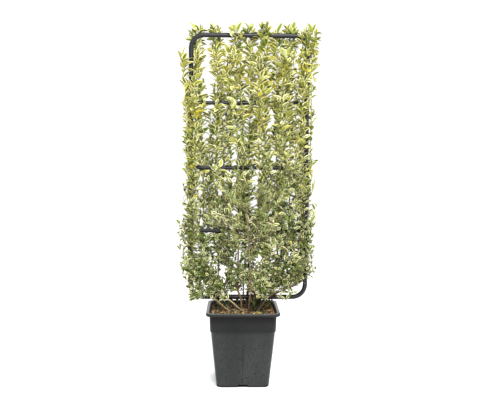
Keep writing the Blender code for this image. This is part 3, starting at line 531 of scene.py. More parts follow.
def buildPot():
    pot = potValues
    bundle = emptyBundle()
    rings = []
    for half, height in potProfile():
        radius = min(pot["cornerRadius"] * half / pot["rimHalf"], half)
        rings.append(squareRing(half, height, radius))
    count = len(rings[0])
    faces = [tuple(reversed(range(count)))]
    for number in range(len(rings) - 1):
        low, high = number * count, (number + 1) * count
        for corner in range(count):
            following = (corner + 1) % count
            faces.append((low + corner, low + following, high + following, high + corner))
    last = (len(rings) - 1) * count
    faces.append(tuple(last + corner for corner in range(count)))
    addToBundle(bundle, [point for ring in rings for point in ring], faces)
    zones = [name for name in potFinish if name.startswith("pot")]
    finishes = [makePotMaterial(name) for name in zones]
    piece = addPiece("squarePot", outwards(meshOf("squarePot", bundle)), finishes[0], ["pot"], 35)
    # Notches in the lower edges and the mould's seam above each.
    cuts = emptyBundle()
    slope = (wallHalf(pot["seamTop"]) - wallHalf(0)) / pot["seamTop"]
    for quarter in range(4):
        turn = Matrix.Rotation(quarter * math.pi / 2, 3, "Z")
        half = pot["baseHalf"]
        notch = boxBundle(
            (-pot["notchWidth"] / 2, -half - 0.03, -0.01),
            (pot["notchWidth"] / 2, -half + pot["notchDepth"], pot["notchHeight"]))
        addToBundle(cuts, [turn @ point for point in notch["points"]], notch["faces"])
        seam = boxBundle(
            (-pot["seamWidth"] / 2, -half - 0.02, pot["notchHeight"] + 0.004),
            (pot["seamWidth"] / 2, -half + pot["seamDepth"], pot["seamTop"]))
        leaning = [Vector((p.x, p.y - slope * p.z, p.z)) for p in seam["points"]]
        addToBundle(cuts, [turn @ point for point in leaning], seam["faces"])
    cutter = bpy.data.objects.new("potCutter", outwards(meshOf("potCutter", cuts)))
    bpy.context.scene.collection.objects.link(cutter)
    cut = piece.modifiers.new("notches", "BOOLEAN")
    cut.operation = "DIFFERENCE"
    cut.solver = "EXACT"
    cut.object = cutter
    mesh = finishedMesh(piece)
    piece.modifiers.clear()
    piece.data = mesh
    bpy.data.objects.remove(cutter)
    mesh.shade_smooth()
    mesh.set_sharp_from_angle(angle=math.radians(35))
    for finish in finishes[1:]:
        mesh.materials.append(finish)
    for face in mesh.polygons:
        middle = face.center
        face.material_index = sum(middle.z > potFinish[name][0] for name in zones[1:])
        inset = wallHalf(middle.z) - max(abs(middle.x), abs(middle.y))
        inNotch = middle.z < pot["notchHeight"] + 0.0002 and inset > 0.0005 and abs(face.normal.z) < 0.999
        notchTop = abs(middle.z - pot["notchHeight"]) < 0.0002
        beside = min(abs(middle.x), abs(middle.y))
        inSeam = beside < pot["seamWidth"] * 0.52 and 0.0002 < inset < pot["wall"] and middle.z < pot["seamTop"] + 0.0002
        # The notches' inner faces and the seam's groove take the near-black notch colour, a painted shade.
        if inNotch or notchTop or inSeam:
            face.material_index = zones.index("potNotchShade")
    print("pot:", len(mesh.polygons), "faces")


# compost, chips and moss

groundValues = {
    "top": 0.304, "half": 0.1368, "deep": 0.268, "gridSteps": 70, "rough": 0.0042, "edgeRise": 0.004,
    "crumbs": 900, "chips": {"chipDark": 240, "chipOrange": 300, "chipPale": 170}, "mossTufts": 90, "mossBlades": 18,
    "seed": 11,
}


def groundHeight(x, y):
    values = groundValues
    wide = noise.noise(Vector((x * 22, y * 22, 3.1)))
    fine = noise.noise(Vector((x * 90, y * 90, 8.4)))
    finest = noise.noise(Vector((x * 260, y * 260, 1.7)))
    edge = max(abs(x), abs(y)) / values["half"]
    return values["top"] - 0.004 + values["rough"] * (wide + 0.7 * fine + 0.35 * finest) + values["edgeRise"] * edge ** 6 * 0.4


def buildGround():
    values = groundValues
    dice = random.Random(values["seed"])
    half = values["half"]
    steps = values["gridSteps"]
    radius = potValues["cornerRadius"] * 0.86
    points, faces = [], []

    def insideSquare(x, y):
        # Pulls a grid point in where the pot's corner is rounded.
        arm = half - radius
        if abs(x) > arm and abs(y) > arm:
            reach = Vector((abs(x) - arm, abs(y) - arm))
            biggest = max(reach)
            scale = biggest / reach.length if reach.length else 1
            reach = reach * scale
            return math.copysign(arm + reach.x, x), math.copysign(arm + reach.y, y)
        return x, y

    for row in range(steps + 1):
        for column in range(steps + 1):
            x, y = insideSquare(half * (2 * column / steps - 1), half * (2 * row / steps - 1))
            points.append(Vector((x, y, groundHeight(x, y))))
    for row in range(steps):
        for column in range(steps):
            start = row * (steps + 1) + column
            faces.append((start, start + 1, start + steps + 2, start + steps + 1))
    ring = [column for column in range(steps)]
    ring += [row * (steps + 1) + steps for row in range(steps)]
    ring += [steps * (steps + 1) + column for column in range(steps, 0, -1)]
    ring += [row * (steps + 1) for row in range(steps, 0, -1)]
    low = len(points)
    points += [Vector((points[index].x * 0.985, points[index].y * 0.985, values["deep"])) for index in ring]
    for number in range(len(ring)):
        following = (number + 1) % len(ring)
        faces.append((ring[following], ring[number], low + number, low + following))
    faces.append(tuple(low + number for number in reversed(range(len(ring)))))
    bundle = {"points": points, "faces": faces}
    addPiece("compost", outwards(meshOf("compost", bundle)), makeGroundMaterial("compost"), ["soil"])

    crumbs = emptyBundle()
    work = bmesh.new()
    bmesh.ops.create_icosphere(work, subdivisions=1, radius=1)
    ballPoints = [vert.co.copy() for vert in work.verts]
    ballFaces = [tuple(vert.index for vert in face.verts) for face in work.faces]
    work.free()
    for number in range(values["crumbs"]):
        x, y = dice.uniform(-1, 1) * half * 0.95, dice.uniform(-1, 1) * half * 0.95
        size = dice.uniform(0.0012, 0.0042)
        turn = Matrix.Rotation(dice.uniform(0, math.tau), 3, Vector((dice.random(), dice.random(), dice.random() + 0.1)).normalized())
        shape = Vector((dice.uniform(0.6, 1.4), dice.uniform(0.6, 1.4), dice.uniform(0.5, 1)))
        middle = Vector((x, y, groundHeight(x, y) + size * 0.25))
        lump = [middle + turn @ (Vector((p.x * shape.x, p.y * shape.y, p.z * shape.z)) * size * dice.uniform(0.8, 1.15)) for p in ballPoints]
        addToBundle(crumbs, lump, ballFaces)
    addPiece("compostCrumbs", meshOf("compostCrumbs", crumbs), makeGroundMaterial("compost"), smoothAngle=40)

    for name, count in values["chips"].items():
        chips = emptyBundle()
        for number in range(count):
            # Orange chips lie thickest at the right and the front, as in the photograph.
            pull = 0.35 if name == "chipOrange" else 0.0
            x = min(max(dice.uniform(-1, 1) + pull * dice.random(), -0.93), 0.93) * half
            y = min(max(dice.uniform(-1, 1) - pull * dice.random(), -0.93), 0.93) * half
            length, width = dice.uniform(0.005, 0.016), dice.uniform(0.0025, 0.006)
            thick = dice.uniform(0.0008, 0.0024)
            chip = boxBundle((-length / 2, -width / 2, -thick / 2), (length / 2, width / 2, thick / 2))
            bent = []
            for corner in chip["points"]:
                bent.append(Vector((
                    corner.x * dice.uniform(0.7, 1.1), corner.y * dice.uniform(0.5, 1.1), corner.z * dice.uniform(0.6, 1.2))))
            turn = Matrix.Rotation(dice.uniform(0, math.tau), 3, "Z") @ Matrix.Rotation(dice.gauss(0, 0.35), 3, "Y") @ Matrix.Rotation(dice.gauss(0, 0.3), 3, "X")
            middle = Vector((x, y, groundHeight(x, y) + dice.uniform(0.0006, 0.003)))
            addToBundle(chips, [middle + turn @ corner for corner in bent], chip["faces"])
        addPiece(f"{name}s", outwards(meshOf(f"{name}s", chips)), makeGroundMaterial(name), smoothAngle=20)

    moss = emptyBundle()
    for tuft in range(values["mossTufts"]):
        x, y = dice.uniform(-0.9, 0.9) * half, dice.uniform(-0.9, 0.9) * half
        for blade in range(values["mossBlades"]):
            foot = Vector((x + dice.gauss(0, 0.004), y + dice.gauss(0, 0.004), 0))
            foot.z = groundHeight(foot.x, foot.y) - 0.0005
            lean = level(dice.uniform(0, math.tau))
            tall = dice.uniform(0.002, 0.005)
            wide = lean.orthogonal().normalized() * tall * 0.2
            tip = foot + up * tall + lean * tall * dice.uniform(0.2, 0.9)
            middle = (foot + tip) / 2 + up * tall * 0.15
            addToBundle(moss, [foot - wide, foot + wide, middle + wide * 1.2, tip, middle - wide * 1.2], [(0, 1, 2, 3, 4)])
    addPiece("mossTufts", meshOf("mossTufts", moss), makeGroundMaterial("moss"))
    print("compost, crumbs, chips and moss")


# tube frame

tubeValues = {
    "middleX": 0.022, "halfWidth": 0.247, "bottomZ": 0.361, "topZ": 1.4805, "radius": 0.010,
    "cornerRadius": 0.055, "cornerSteps": 18, "crossbarRadius": 0.008,
    "crossbars": {"upper": 1.194, "middle": 0.918, "lower": 0.648}, "sides": 28, "weldWidth": 0.0016,
}


def tubeCurve(name, points, radius, closed):
    curve = bpy.data.curves.new(name, "CURVE")
    curve.dimensions = "3D"
    spline = curve.splines.new("POLY")
    spline.points.add(len(points) - 1)
    for place, point in zip(spline.points, points):
        place.co = (*point, 1)
    spline.use_cyclic_u = closed
    curve.bevel_depth = radius
    curve.bevel_resolution = tubeValues["sides"] // 4
    holder = bpy.data.objects.new(name, curve)
    bpy.context.scene.collection.objects.link(holder)
    mesh = finishedMesh(holder)
    bpy.data.objects.remove(holder)
    return mesh


def buildTubes():
    tube = tubeValues
    material = makeTubeMaterial()
    left, right = tube["middleX"] - tube["halfWidth"], tube["middleX"] + tube["halfWidth"]
    bend = tube["cornerRadius"]
    points = []
    corners = (
        (right - bend, tube["bottomZ"] + bend, -math.pi / 2), (right - bend, tube["topZ"] - bend, 0.0),
        (left + bend, tube["topZ"] - bend, math.pi / 2), (left + bend, tube["bottomZ"] + bend, math.pi))
    for x, z, start in corners:
        for step in range(tube["cornerSteps"] + 1):
            turn = start + math.pi / 2 * step / tube["cornerSteps"]
            points.append(Vector((x + bend * math.cos(turn), 0, z + bend * math.sin(turn))))
    mesh = tubeCurve("tubeHoop", points, tube["radius"], True)
    names = ["frame_post_left", "frame_post_right", "frame_bar_top", "frame_bar_bottom"]
    names += [f"frame_corner_{tall}_{side}" for tall in ("top", "bottom") for side in ("left", "right")]
    hoop = addPiece("tubeHoop", mesh, material, names)
    bars = []
    welds = emptyBundle()
    for word, z in tube["crossbars"].items():
        sunk = tube["radius"] * 0.6
        ends = (Vector((left + sunk, 0, z)), Vector((right - sunk, 0, z)))
        bars.append(tubeCurve(f"crossbar{word}", ends, tube["crossbarRadius"], False))
        for x, way in ((left, 1), (right, -1)):
            # A weld bead runs round the crossbar's end, where it meets the post's round wall.
            bead = []
            for step in range(33):
                turn = math.tau * step / 32
                y = (tube["crossbarRadius"] + 0.0004) * math.cos(turn)
                lift = (tube["crossbarRadius"] + 0.0004) * math.sin(turn)
                out = math.sqrt(max(tube["radius"] ** 2 - y * y, 0))
                bead.append(Vector((x + way * (out + 0.0003), y, z + lift)))
            radii = [tube["weldWidth"] * (1 + 0.18 * math.sin(step * 2.1)) for step in range(33)]
            sweep(welds, bead, radii, 8)
    joined = bmesh.new()
    for bar in bars:
        joined.from_mesh(bar)
    mesh = bpy.data.meshes.new("crossbars")
    joined.to_mesh(mesh)
    joined.free()
    crossbars = addPiece("crossbars", mesh, material, [f"frame_crossbar_{word}" for word in tube["crossbars"]])
    addPiece("weldBeads", meshOf("weldBeads", welds), material)
    print("tube frame with crossbars and welds")
    return hoop, crossbars


# skeleton of the plant: the same named sizes and rules as the part's source

gap = 0.0003
shootValues = {
    "footRadius": 0.0036, "tipRadius": 0.0015, "topReach": 0.050, "ringStep": 0.120, "sway": 0.004,
    "leanPower": 3,
    "places": (
        # x at foot and tip, side of the frame, foot height, top of the leaves
        (-0.230, -0.262, "front", 0.498, 1.419), (-0.174, -0.205, "back", 0.474, 1.541),
        (-0.110, -0.124, "back", 0.474, 1.545), (-0.061, -0.061, "back", 0.461, 1.440),
        (-0.0225, -0.036, "front", 0.446, 1.524), (0.0247, 0.0247, "back", 0.466, 1.539),
        (0.0892, 0.0892, "front", 0.466, 1.543), (0.146, 0.1365, "back", 0.470, 1.529),
        (0.1753, 0.1753, "front", 0.474, 1.419), (0.197, 0.2025, "back", 0.474, 1.539),
        (0.245, 0.256, "front", 0.474, 1.526), (0.284, 0.294, "back", 0.474, 1.536)),
}
stemValues = {
    "waist": 0.78, "flareHeight": 0.022, "boughRadius": 0.0027, "boughSpread": 0.0022, "boughBow": 0.07,
    "boughRise": 0.012, "boughEnd": 0.74, "stub": 0.006, "uprightRun": 0.045,
    "forked": {
        # foot, x beside the bottom bar, fork (x, z), radius at foot and fork, shoots, bark
        "left_back": ((-0.026, 0.022), -0.062, (-0.083, 0.392), 0.0076, 0.0070, (1, 2, 3), "brown"),
        "centre": ((0.016, 0.020), 0.0205, (0.0247, 0.414), 0.0075, 0.0058, (5, 7), "grey"),
        "right_back": ((0.048, 0.024), 0.086, (0.106, 0.392), 0.0070, 0.0056, (9, 11), "grey"),
        "right_front": ((0.035, -0.022), 0.0508, (0.0520, 0.406), 0.0084, 0.0074, (6, 8), "red"),
    },
    "lone": {
        # shoot, foot, x beside the bottom bar, foot radius, bark
        "orange": (4, (-0.004, -0.028), -0.0096, 0.0058, "orange"),
        "outer_left": (0, (-0.060, -0.034), -0.125, 0.0042, "tan"),
        "outer_right": (10, (0.058, -0.024), 0.108, 0.0050, "red"),
    },
    "low": {
        # foot, point on the way, foot radius, bark
        "left": ((0.003, -0.050), (-0.048, -0.043, 0.348), 0.0033, "tan"),
        "right": ((0.062, -0.042), (0.088, -0.042, 0.344), 0.0038, "brown"),
        "front": ((0.022, -0.060), (0.030, -0.076, 0.396), 0.0038, "orange"),
        "back": ((0.002, 0.056), (0.004, 0.078, 0.376), 0.0040, "brown"),
    },
}
lowValues = {
    "arch": 0.012, "footRadius": 0.0028, "tipRadius": 0.0016,
    "masses": {
        # foot, end of the stem, corners of the space
        "left": ((-0.090, -0.040, 0.378), (-0.225, -0.046, 0.418), (-0.262, -0.105, 0.344), (-0.040, 0.105, 0.463)),
        "right": ((0.120, -0.040, 0.378), (0.235, -0.046, 0.418), (0.075, -0.105, 0.351), (0.262, 0.105, 0.463)),
        "front": ((0.030, -0.082, 0.474), (0.010, -0.088, 0.776), (-0.200, -0.132, 0.464), (0.240, -0.0655, 0.866)),
        "back": ((0.010, 0.082, 0.474), (0.020, 0.088, 0.776), (-0.200, 0.0655, 0.464), (0.240, 0.132, 0.866)),
    },
}
soilTop = 0.304


def shootSide(number):
    return -1 if shootValues["places"][number][2] == "front" else 1


def shootTip(number):
    return shootValues["places"][number][4] - shootValues["topReach"]


def shootFoot(number):
    return shootValues["places"][number][3]


def shootShare(number, height):
    # How far up a shoot a height lies.
    return (height - shootFoot(number)) / (shootTip(number) - shootFoot(number))


def barClearance(radius):
    return tubeValues["radius"] + gap + radius


def shootPoint(number, height):
    footX, tipX = shootValues["places"][number][:2]
    lean = (tipX - footX) * max(shootShare(number, height), 0) ** shootValues["leanPower"]
    sway = shootValues["sway"] * math.sin(7.0 * height + 2.3 * number)
    depth = barClearance(shootValues["footRadius"])
    return Vector((footX + lean + sway, shootSide(number) * depth, height))


def shootPath(number):
    foot, tip = shootFoot(number), shootTip(number)
    count = round((tip - foot) / shootValues["ringStep"])
    return [shootPoint(number, mix(foot, tip, step / count)) for step in range(count + 1)]


def shootRadius(number, height):
    return mix(shootValues["footRadius"], shootValues["tipRadius"], shootShare(number, height))


def bezier(start, first, second, end, steps):
    points = []
    for step in range(steps + 1):
        t = step / steps
        u = 1 - t
        points.append(start * u ** 3 + first * 3 * u * u * t + second * 3 * u * t * t + end * t ** 3)
    return points


def taper(count, first, last):
    return [mix(first, last, step / (count - 1)) for step in range(count)]


def stemRadii(points, footRadius, endRadius):
    flare = stemValues["flareHeight"]
    radii = taper(len(points), footRadius * stemValues["waist"], endRadius)
    for number, point in enumerate(points):
        rise = point.z - points[0].z
        if rise < flare:
            radii[number] = mix(footRadius, radii[number], rise / flare)
    return radii


def flatFoot(points):
    return [points[0], points[0] + Vector((0, 0, 0.004))] + points[1:]


def lowPath(word):
    foot, end = (Vector(place) for place in lowValues["masses"][word][:2])
    return smoothPath([foot, (foot + end) / 2 + up * lowValues["arch"], end], 3)


def stemLine(name):
    foot, besideX, fork, footRadius, forkRadius = stemValues["forked"][name][:5]
    side = math.copysign(1, foot[1])
    thickest = max(footRadius * stemValues["waist"], forkRadius)
    beside = Vector((besideX, side * barClearance(thickest), tubeValues["bottomZ"]))
    forkPoint = Vector((fork[0], side * barClearance(forkRadius), fork[1]))
    points = flatFoot(smoothPath([Vector((*foot, soilTop + gap)), beside, forkPoint], 3))
    return points, stemRadii(points, footRadius, forkRadius)


def boughLine(name, place, number):
    values = stemValues
    points, radii = stemLine(name)
    fork = points[-1]
    carried = values["forked"][name][5]
    aim = (fork - points[-2]).normalized()
    across = (Vector((1, 0, 0)) - aim * aim.x).normalized()
    offset = across * (place - (len(carried) - 1) / 2) * (2 * values["boughRadius"] + values["boughSpread"])
    socket = fork + aim * gap + offset
    start = socket + aim * 0.004
    end = shootPoint(number, shootFoot(number) - values["stub"])
    spread = end - start
    bow = Vector((0, shootSide(number) * values["boughBow"] * abs(spread.x), 0))
    first = start + aim * values["boughRise"] + spread * 0.2 + offset + bow
    second = end - up * 0.42 * spread.z
    return [socket] + bezier(start, first, second, end, 5) + [shootPath(number)[0]]


def limbLines():
    # Every stem and bough: node, centre line, radii and bark.
    limbs = []
    values = stemValues
    for name, facts in values["forked"].items():
        points, radii = stemLine(name)
        limbs.append((f"stem_{name}", points, radii, facts[6]))
        for place, number in enumerate(facts[5]):
            line = boughLine(name, place, number)
            boughRadii = taper(len(line), values["boughRadius"], shootValues["footRadius"] * values["boughEnd"])
            limbs.append((f"bough_{number + 1:02d}", line, boughRadii, facts[6]))
    for name, (number, foot, besideX, footRadius, bark) in values["lone"].items():
        side = math.copysign(1, foot[1])
        beside = Vector((besideX, side * barClearance(footRadius), tubeValues["bottomZ"]))
        upright = shootPoint(number, shootFoot(number) - values["uprightRun"])
        end = shootPoint(number, shootFoot(number) - values["stub"])
        points = flatFoot(smoothPath([Vector((*foot, soilTop + gap)), beside, upright, end], 3))
        points.append(shootPath(number)[0])
        limbs.append((f"stem_{name}", points, stemRadii(points, footRadius, shootValues["footRadius"]), bark))
    for word, (foot, beside, footRadius, bark) in values["low"].items():
        path = lowPath(word)
        below = path[0] - (path[1] - path[0]).normalized() * values["stub"]
        points = flatFoot(smoothPath([Vector((*foot, soilTop + gap)), Vector(beside), below], 3))
        points.append(path[0])
        limbs.append((f"stem_low_{word}", points, stemRadii(points, footRadius, lowValues["footRadius"]), bark))
    return limbs


barkValues = {"ringStep": 0.0035, "sides": 12, "relief": 0.07, "ridge": 0.05, "nodeStep": 7, "nodeSwell": 0.10, "sink": 0.004}


def barkRelief(seed):
    # Fine ridges along the limb, soft lumps, and a swelling at each old leaf's place.
    def relief(point, turn, ring):
        place = point * 150 + Vector((seed, 0, 0))
        lump = noise.noise(Vector((place.x, place.y, place.z * 0.35)))
        ridge = math.sin(5 * turn + 1.7 * seed + 4 * lump)
        knot = barkValues["nodeSwell"] if ring % barkValues["nodeStep"] == 3 else 0
        return 1 + barkValues["relief"] * lump + barkValues["ridge"] * ridge * 0.5 + knot
    return relief


def buildLimbs():
    # Skins with the bark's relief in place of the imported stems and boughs, sunk a little into the compost.
    bundles = {}
    replaced = {}
    coarse = emptyBundle()
    for number, (node, points, radii, bark) in enumerate(limbLines()):
        bundle = bundles.setdefault(bark, emptyBundle())
        replaced.setdefault(bark, []).append(node)
        if node.startswith("stem_"):
            points = [points[0] - up * barkValues["sink"]] + points
            radii = [radii[0] * 1.25] + radii
        sweep(coarse, points, radii, 6)
        fine, fineRadii = finerPath(smoothPath(points, 3), taperLike(radii, 3), barkValues["ringStep"])
        sweep(bundle, fine, fineRadii, barkValues["sides"], barkRelief(number))
    for bark, bundle in bundles.items():
        addPiece(f"{bark}Limbs", meshOf(f"{bark}Limbs", bundle), barkMaterials[bark], replaced[bark])
    print("stems and boughs with bark:", sum(len(names) for names in replaced.values()))
    return coarse


def taperLike(radii, steps):
    # Radii for the extra points of a smoothed path.
    fine = []
    for first, last in zip(radii, radii[1:]):
        fine += [mix(first, last, step / steps) for step in range(steps)]
    return fine + [radii[-1]]


# ties

tieValues = {
    "band": 0.0012, "width": 0.0034, "head": (0.0058, 0.0046, 0.0044), "tail": (0.0026, 0.0009, 0.024),
    "slack": 0.0018, "loopSteps": 40,
    "places": (
        # limb, bar, way of the tail
        (6, "top", (-0.7, -0.3, 0.7)), (9, "top", (0.8, 0.4, 0.5)), (6, "upper", (-0.3, -0.6, -0.7)),
        (8, "upper", (0.4, -0.5, -0.8)), (1, "middle", (-0.5, -0.7, -0.5)), (2, "lower", (-0.6, 0.5, 0.6)),
        (5, "lower", (0.5, 0.6, -0.7)), ("right_front", "bottom", (0.8, -0.5, 0.2))),
}


def tieLoop(bar, limbY, limb, spread):
    # Outline round the slanting cuts of a bar and of the limb that crosses it.
    count = tieValues["loopSteps"]
    points = []
    for number in range(count):
        turn = math.tau * number / count
        nx, ny = math.cos(turn), math.sin(turn)
        best, reach = None, -1
        for y, radius in ((0, bar + spread), (limbY, limb + spread)):
            halfLong = radius * math.sqrt(2)
            far = y * ny + math.hypot(halfLong * nx, radius * ny)
            if far > reach:
                length = math.hypot(halfLong * nx, radius * ny)
                best = (halfLong * halfLong * nx / length, y + radius * radius * ny / length)
                reach = far
        points.append(best)
    return points


def roundedBox(size, bevel):
    work = bmesh.new()
    bmesh.ops.create_cube(work, size=1)
    bmesh.ops.scale(work, verts=work.verts, vec=size)
    bmesh.ops.bevel(work, geom=list(work.edges), offset=bevel, segments=2, profile=0.5, affect="EDGES")
    work.verts.index_update()
    bundle = {"points": [vert.co.copy() for vert in work.verts], "faces": [tuple(v.index for v in face.verts) for face in work.faces]}
    work.free()
    return bundle


def buildTies():
    values = tieValues
    bundle = emptyBundle()
    heights = dict(tubeValues["crossbars"], top=tubeValues["topZ"], bottom=tubeValues["bottomZ"])
    for limb, bar, tail in values["places"]:
        height = heights[bar]
        barRadius = tubeValues["crossbarRadius"] if bar in tubeValues["crossbars"] else tubeValues["radius"]
        if isinstance(limb, str):
            points, radii = stemLine(limb)
            spot, radius = min(zip(points, radii), key=lambda pair: abs(pair[0].z - height))
            lean = spot.x - points[0].x
        else:
            spot, axis = alongPath(shootPath(limb), shootShare(limb, height))
            radius = shootRadius(limb, height)
            lean = axis.x
        centre = Vector((spot.x, 0, height))
        slant = Vector((1, 0, -math.copysign(1, lean))).normalized()
        deep = Vector((0, 1, 0))
        wide = slant.cross(deep)
        loops = []
        for spread in (0.0004, 0.0004 + values["band"]):
            outline = tieLoop(barRadius, spot.y, radius + gap, spread)
            for edge in (-0.5, 0.5):
                loops.append([centre + slant * x + deep * y + wide * edge * values["width"] for x, y in outline])
        count = len(loops[0])
        faces = []
        for number in range(count):
            following = (number + 1) % count
            for first, second in ((0, 1), (1, 3), (3, 2), (2, 0)):
                faces.append((first * count + number, first * count + following, second * count + following, second * count + number))
        addToBundle(bundle, [point for loop in loops for point in loop], faces)
        side = math.copysign(1, spot.y)
        headPlace = centre + deep * side * (abs(spot.y) + radius + gap + values["head"][1] / 2)
        head = roundedBox(values["head"], 0.0006)
        turn = Matrix((slant, deep, wide)).transposed()
        addToBundle(bundle, [headPlace + turn @ point for point in head["points"]], head["faces"])
        # The cut tail springs back a little along its length.
        along = Vector(tail).normalized()
        flat = along.cross(deep).normalized()
        thin = flat.cross(along)
        strip = []
        for step in range(8):
            share = step / 7
            middle = headPlace + along * values["tail"][2] * share + thin * 0.004 * math.sin(share * 2.2)
            half = values["tail"][0] / 2 * (1 if step < 7 else 0.55)
            for x, y in ((-1, -1), (1, -1), (1, 1), (-1, 1)):
                strip.append(middle + flat * x * half + thin * y * values["tail"][1] / 2)
        faces = [(3, 2, 1, 0), (28, 29, 30, 31)]
        for step in range(7):
            for corner in range(4):
                following = (corner + 1) % 4
                faces.append((step * 4 + corner, step * 4 + following, step * 4 + 4 + following, step * 4 + 4 + corner))
        addToBundle(bundle, strip, faces)
    names = [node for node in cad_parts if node.startswith("tie_")]
    addPiece("shootTies", outwards(meshOf("shootTies", bundle)), makeTieMaterial(), names, 30)
    print("ties:", len(values["places"]))
    return bundle


# foliage

leafValues = {
    # share along the leaf, half width as a share of the whole width
    "rows": ((0.17, 0.29), (0.38, 0.49), (0.62, 0.48), (0.84, 0.28)),
    "petiole": 0.07, "heartEnd": 0.92, "fold": 0.27, "curl": (0.20, 0.50), "curlFrom": 0.60, "heart": (0.50, 0.85),
    "lengthTip": 0.055, "lengthTop": 0.048, "lengthLow": 0.031, "widthLow": (0.38, 0.50), "widthTop": (0.41, 0.51),
    "cell": 0.034, "seed": 21,
}
growthValues = {
    "nodeStepTop": 0.0106, "nodeStepLow": 0.0130, "bushyTop": 0.926, "twigShare": 0.30, "tuftShare": 0.15, "coverShare": 0.45, "coverTop": 1.27, "coverSpread": (0.22, 0.50), "lowCover": 0.55, "thickFrom": 1.2, "thickShoots": {9: 0.2, 10: 0.2, 1: 0.15, 2: 0.2}, "topTuftShare": 0.48, "topTuftReach": 0.13,
    "twigLength": (0.030, 0.080), "tuftLength": (0.012, 0.030),
    # pairs at a shoot's tip: how far they spread and how far below the tip they stand
    "tipPairs": ((0.30, 0.0), (0.52, 0.005), (0.80, 0.012), (1.00, 0.020), (0.62, 0.028), (0.45, 0.036)), "tipRise": 0.009, "twigStep": 0.0120, "twigRadius": 0.0012,
    "twigLeaf": 0.028, "depth": 0.066, "lowDepth": 0.105,
    # how far leaves reach through the grid to the frame's other side, and up to what height
    "through": 0.030, "throughTop": 1.385,
    # how far the level low masses reach up among the shoots' feet
    "lowRise": 0.110, "lowInside": 0.024,
    # how many long side shoots each shoot carries, from the left, and the heights that they leave it at
    "sideShoots": (10, 9, 9, 6, 6, 8, 9, 5, 5, 6, 6, 4), "sideFrom": 0.475, "sideTo": 1.16, "sidePower": 1.2, "sideTries": 3, "sideBelowTip": 0.035,
    "sideLength": (0.11, 0.27), "sideInside": 0.010, "sideRadius": (0.0015, 0.0008), "sideOut": (0.014, 0.032),
    "limbTwigFrom": 0.352, "limbTwigStep": 0.015, "limbTwigLength": (0.030, 0.095), "limbTwigTop": 0.600,
    # the middle of the fan of stems, open at the front
    "fanMiddle": 0.022, "fanHalf": 0.038, "fanTop": 0.388,
    # the crown's left and right edge by height
    "leftEdge": (
        (0.346, -0.240), (0.436, -0.262), (0.506, -0.278), (0.640, -0.284), (0.720, -0.280), (0.800, -0.268),
        (0.950, -0.262), (1.060, -0.276), (1.100, -0.279), (1.150, -0.260), (1.240, -0.256), (1.330, -0.280),
        (1.606, -0.296)),
    "rightEdge": ((0.346, 0.215), (0.396, 0.245), (0.426, 0.304), (0.606, 0.318), (0.906, 0.314), (1.206, 0.318), (1.346, 0.330), (1.606, 0.336)),
    "bottomEdge": (
        (-0.400, 0.349), (-0.085, 0.349), (-0.060, 0.368), (0.020, 0.372), (0.040, 0.350), (0.120, 0.350), (0.195, 0.354),
        (0.225, 0.376), (0.400, 0.376)),
    "ragged": 0.034, "gapRagged": 1.4,
    # where sky shows between the leaves: middle, then half width and half height
    "skyGaps": (
        (-0.183, 1.186, 0.008, 0.009), (0.124, 1.131, 0.010, 0.030), (-0.169, 1.041, 0.008, 0.018),
        (-0.042, 0.960, 0.012, 0.017), (0.131, 0.954, 0.015, 0.016), (0.192, 1.011, 0.009, 0.021),
        (-0.044, 0.866, 0.006, 0.026), (-0.181, 0.866, 0.011, 0.013), (-0.100, 0.814, 0.010, 0.017),
        (0.050, 0.767, 0.012, 0.026), (0.201, 0.784, 0.015, 0.018), (0.115, 0.728, 0.013, 0.015),
        (-0.040, 0.720, 0.010, 0.014), (-0.181, 0.677, 0.010, 0.013), (-0.138, 0.582, 0.009, 0.009),
        (-0.018, 0.547, 0.011, 0.032), (0.147, 0.564, 0.015, 0.015), (0.197, 0.547, 0.012, 0.014),
        (0.180, 0.482, 0.015, 0.012), (0.115, 0.447, 0.012, 0.012), (-0.078, 0.426, 0.016, 0.012),
        (0.012, 0.391, 0.009, 0.019), (-0.152, 1.343, 0.011, 0.036), (-0.139, 1.241, 0.009, 0.020)),
    # stretches of a crossbar that no leaf hides
    "bareBars": (
        ("upper", -0.158, -0.121), ("upper", -0.029, 0.018), ("middle", -0.198, -0.150), ("middle", -0.078, 0.005),
        ("middle", 0.125, 0.168), ("lower", -0.181, -0.118), ("lower", -0.027, 0.010), ("lower", 0.136, 0.168)),
    "bareHalf": 0.011,
    # the right post stays in view between these heights, and few leaves cross before it or stand beyond it
    "postClear": (0.38, 1.40), "postStrip": (0.002, 0.011), "postShare": ((0.38, 0.20), (0.88, 0.30), (1.00, 0.75), (1.40, 0.80)),
    # the share of leaves beyond the post that is left out, by height
    "beyondShare": ((0.30, 0.08), (0.70, 0.08), (0.80, 0.40), (1.00, 0.45), (1.10, 0.72), (1.34, 0.60), (1.40, 0.00)),
    # twigs of the shoots behind that grow through the grid just below a crossbar and rise before it
    "barTwigs": 2, "barBelow": (0.030, 0.058), "barTwigLength": (0.036, 0.060), "barThrough": 0.060,
    "accents": ((-0.185, 1.144), (0.016, 1.280), (0.123, 1.271), (0.2645, 1.343), (-0.215, 0.939)),
    "accentReach": 0.020, "accentShare": 0.5,
    # the share of low sprays without a pale edge
    "plainShare": 0.30,
    # the tips above this height are a little duller
    "dullFrom": 1.42, "dullShare": 0.34,
    # more leafy twigs between these heights
    "fillLow": 0.49, "fillTop": 0.64, "fillShare": 0.30,
}
sproutValues = {
    # middle of each patch, its half width and half depth, how many sprouts and how many bare twigs
    "patches": (
        (0.088, 0.030, 0.036, 0.070, 20, 3), (0.040, 0.075, 0.030, 0.030, 9, 14), (-0.010, 0.080, 0.030, 0.028, 5, 12),
        (-0.085, 0.040, 0.036, 0.060, 9, 4)),
    "height": (0.026, 0.066), "twigHeight": (0.035, 0.095), "step": 0.0085, "leaf": (0.013, 0.023),
    "colours": ("heartGreen", "heartGreen", "heartOlive", "heartDeep", "heartLime"),
}
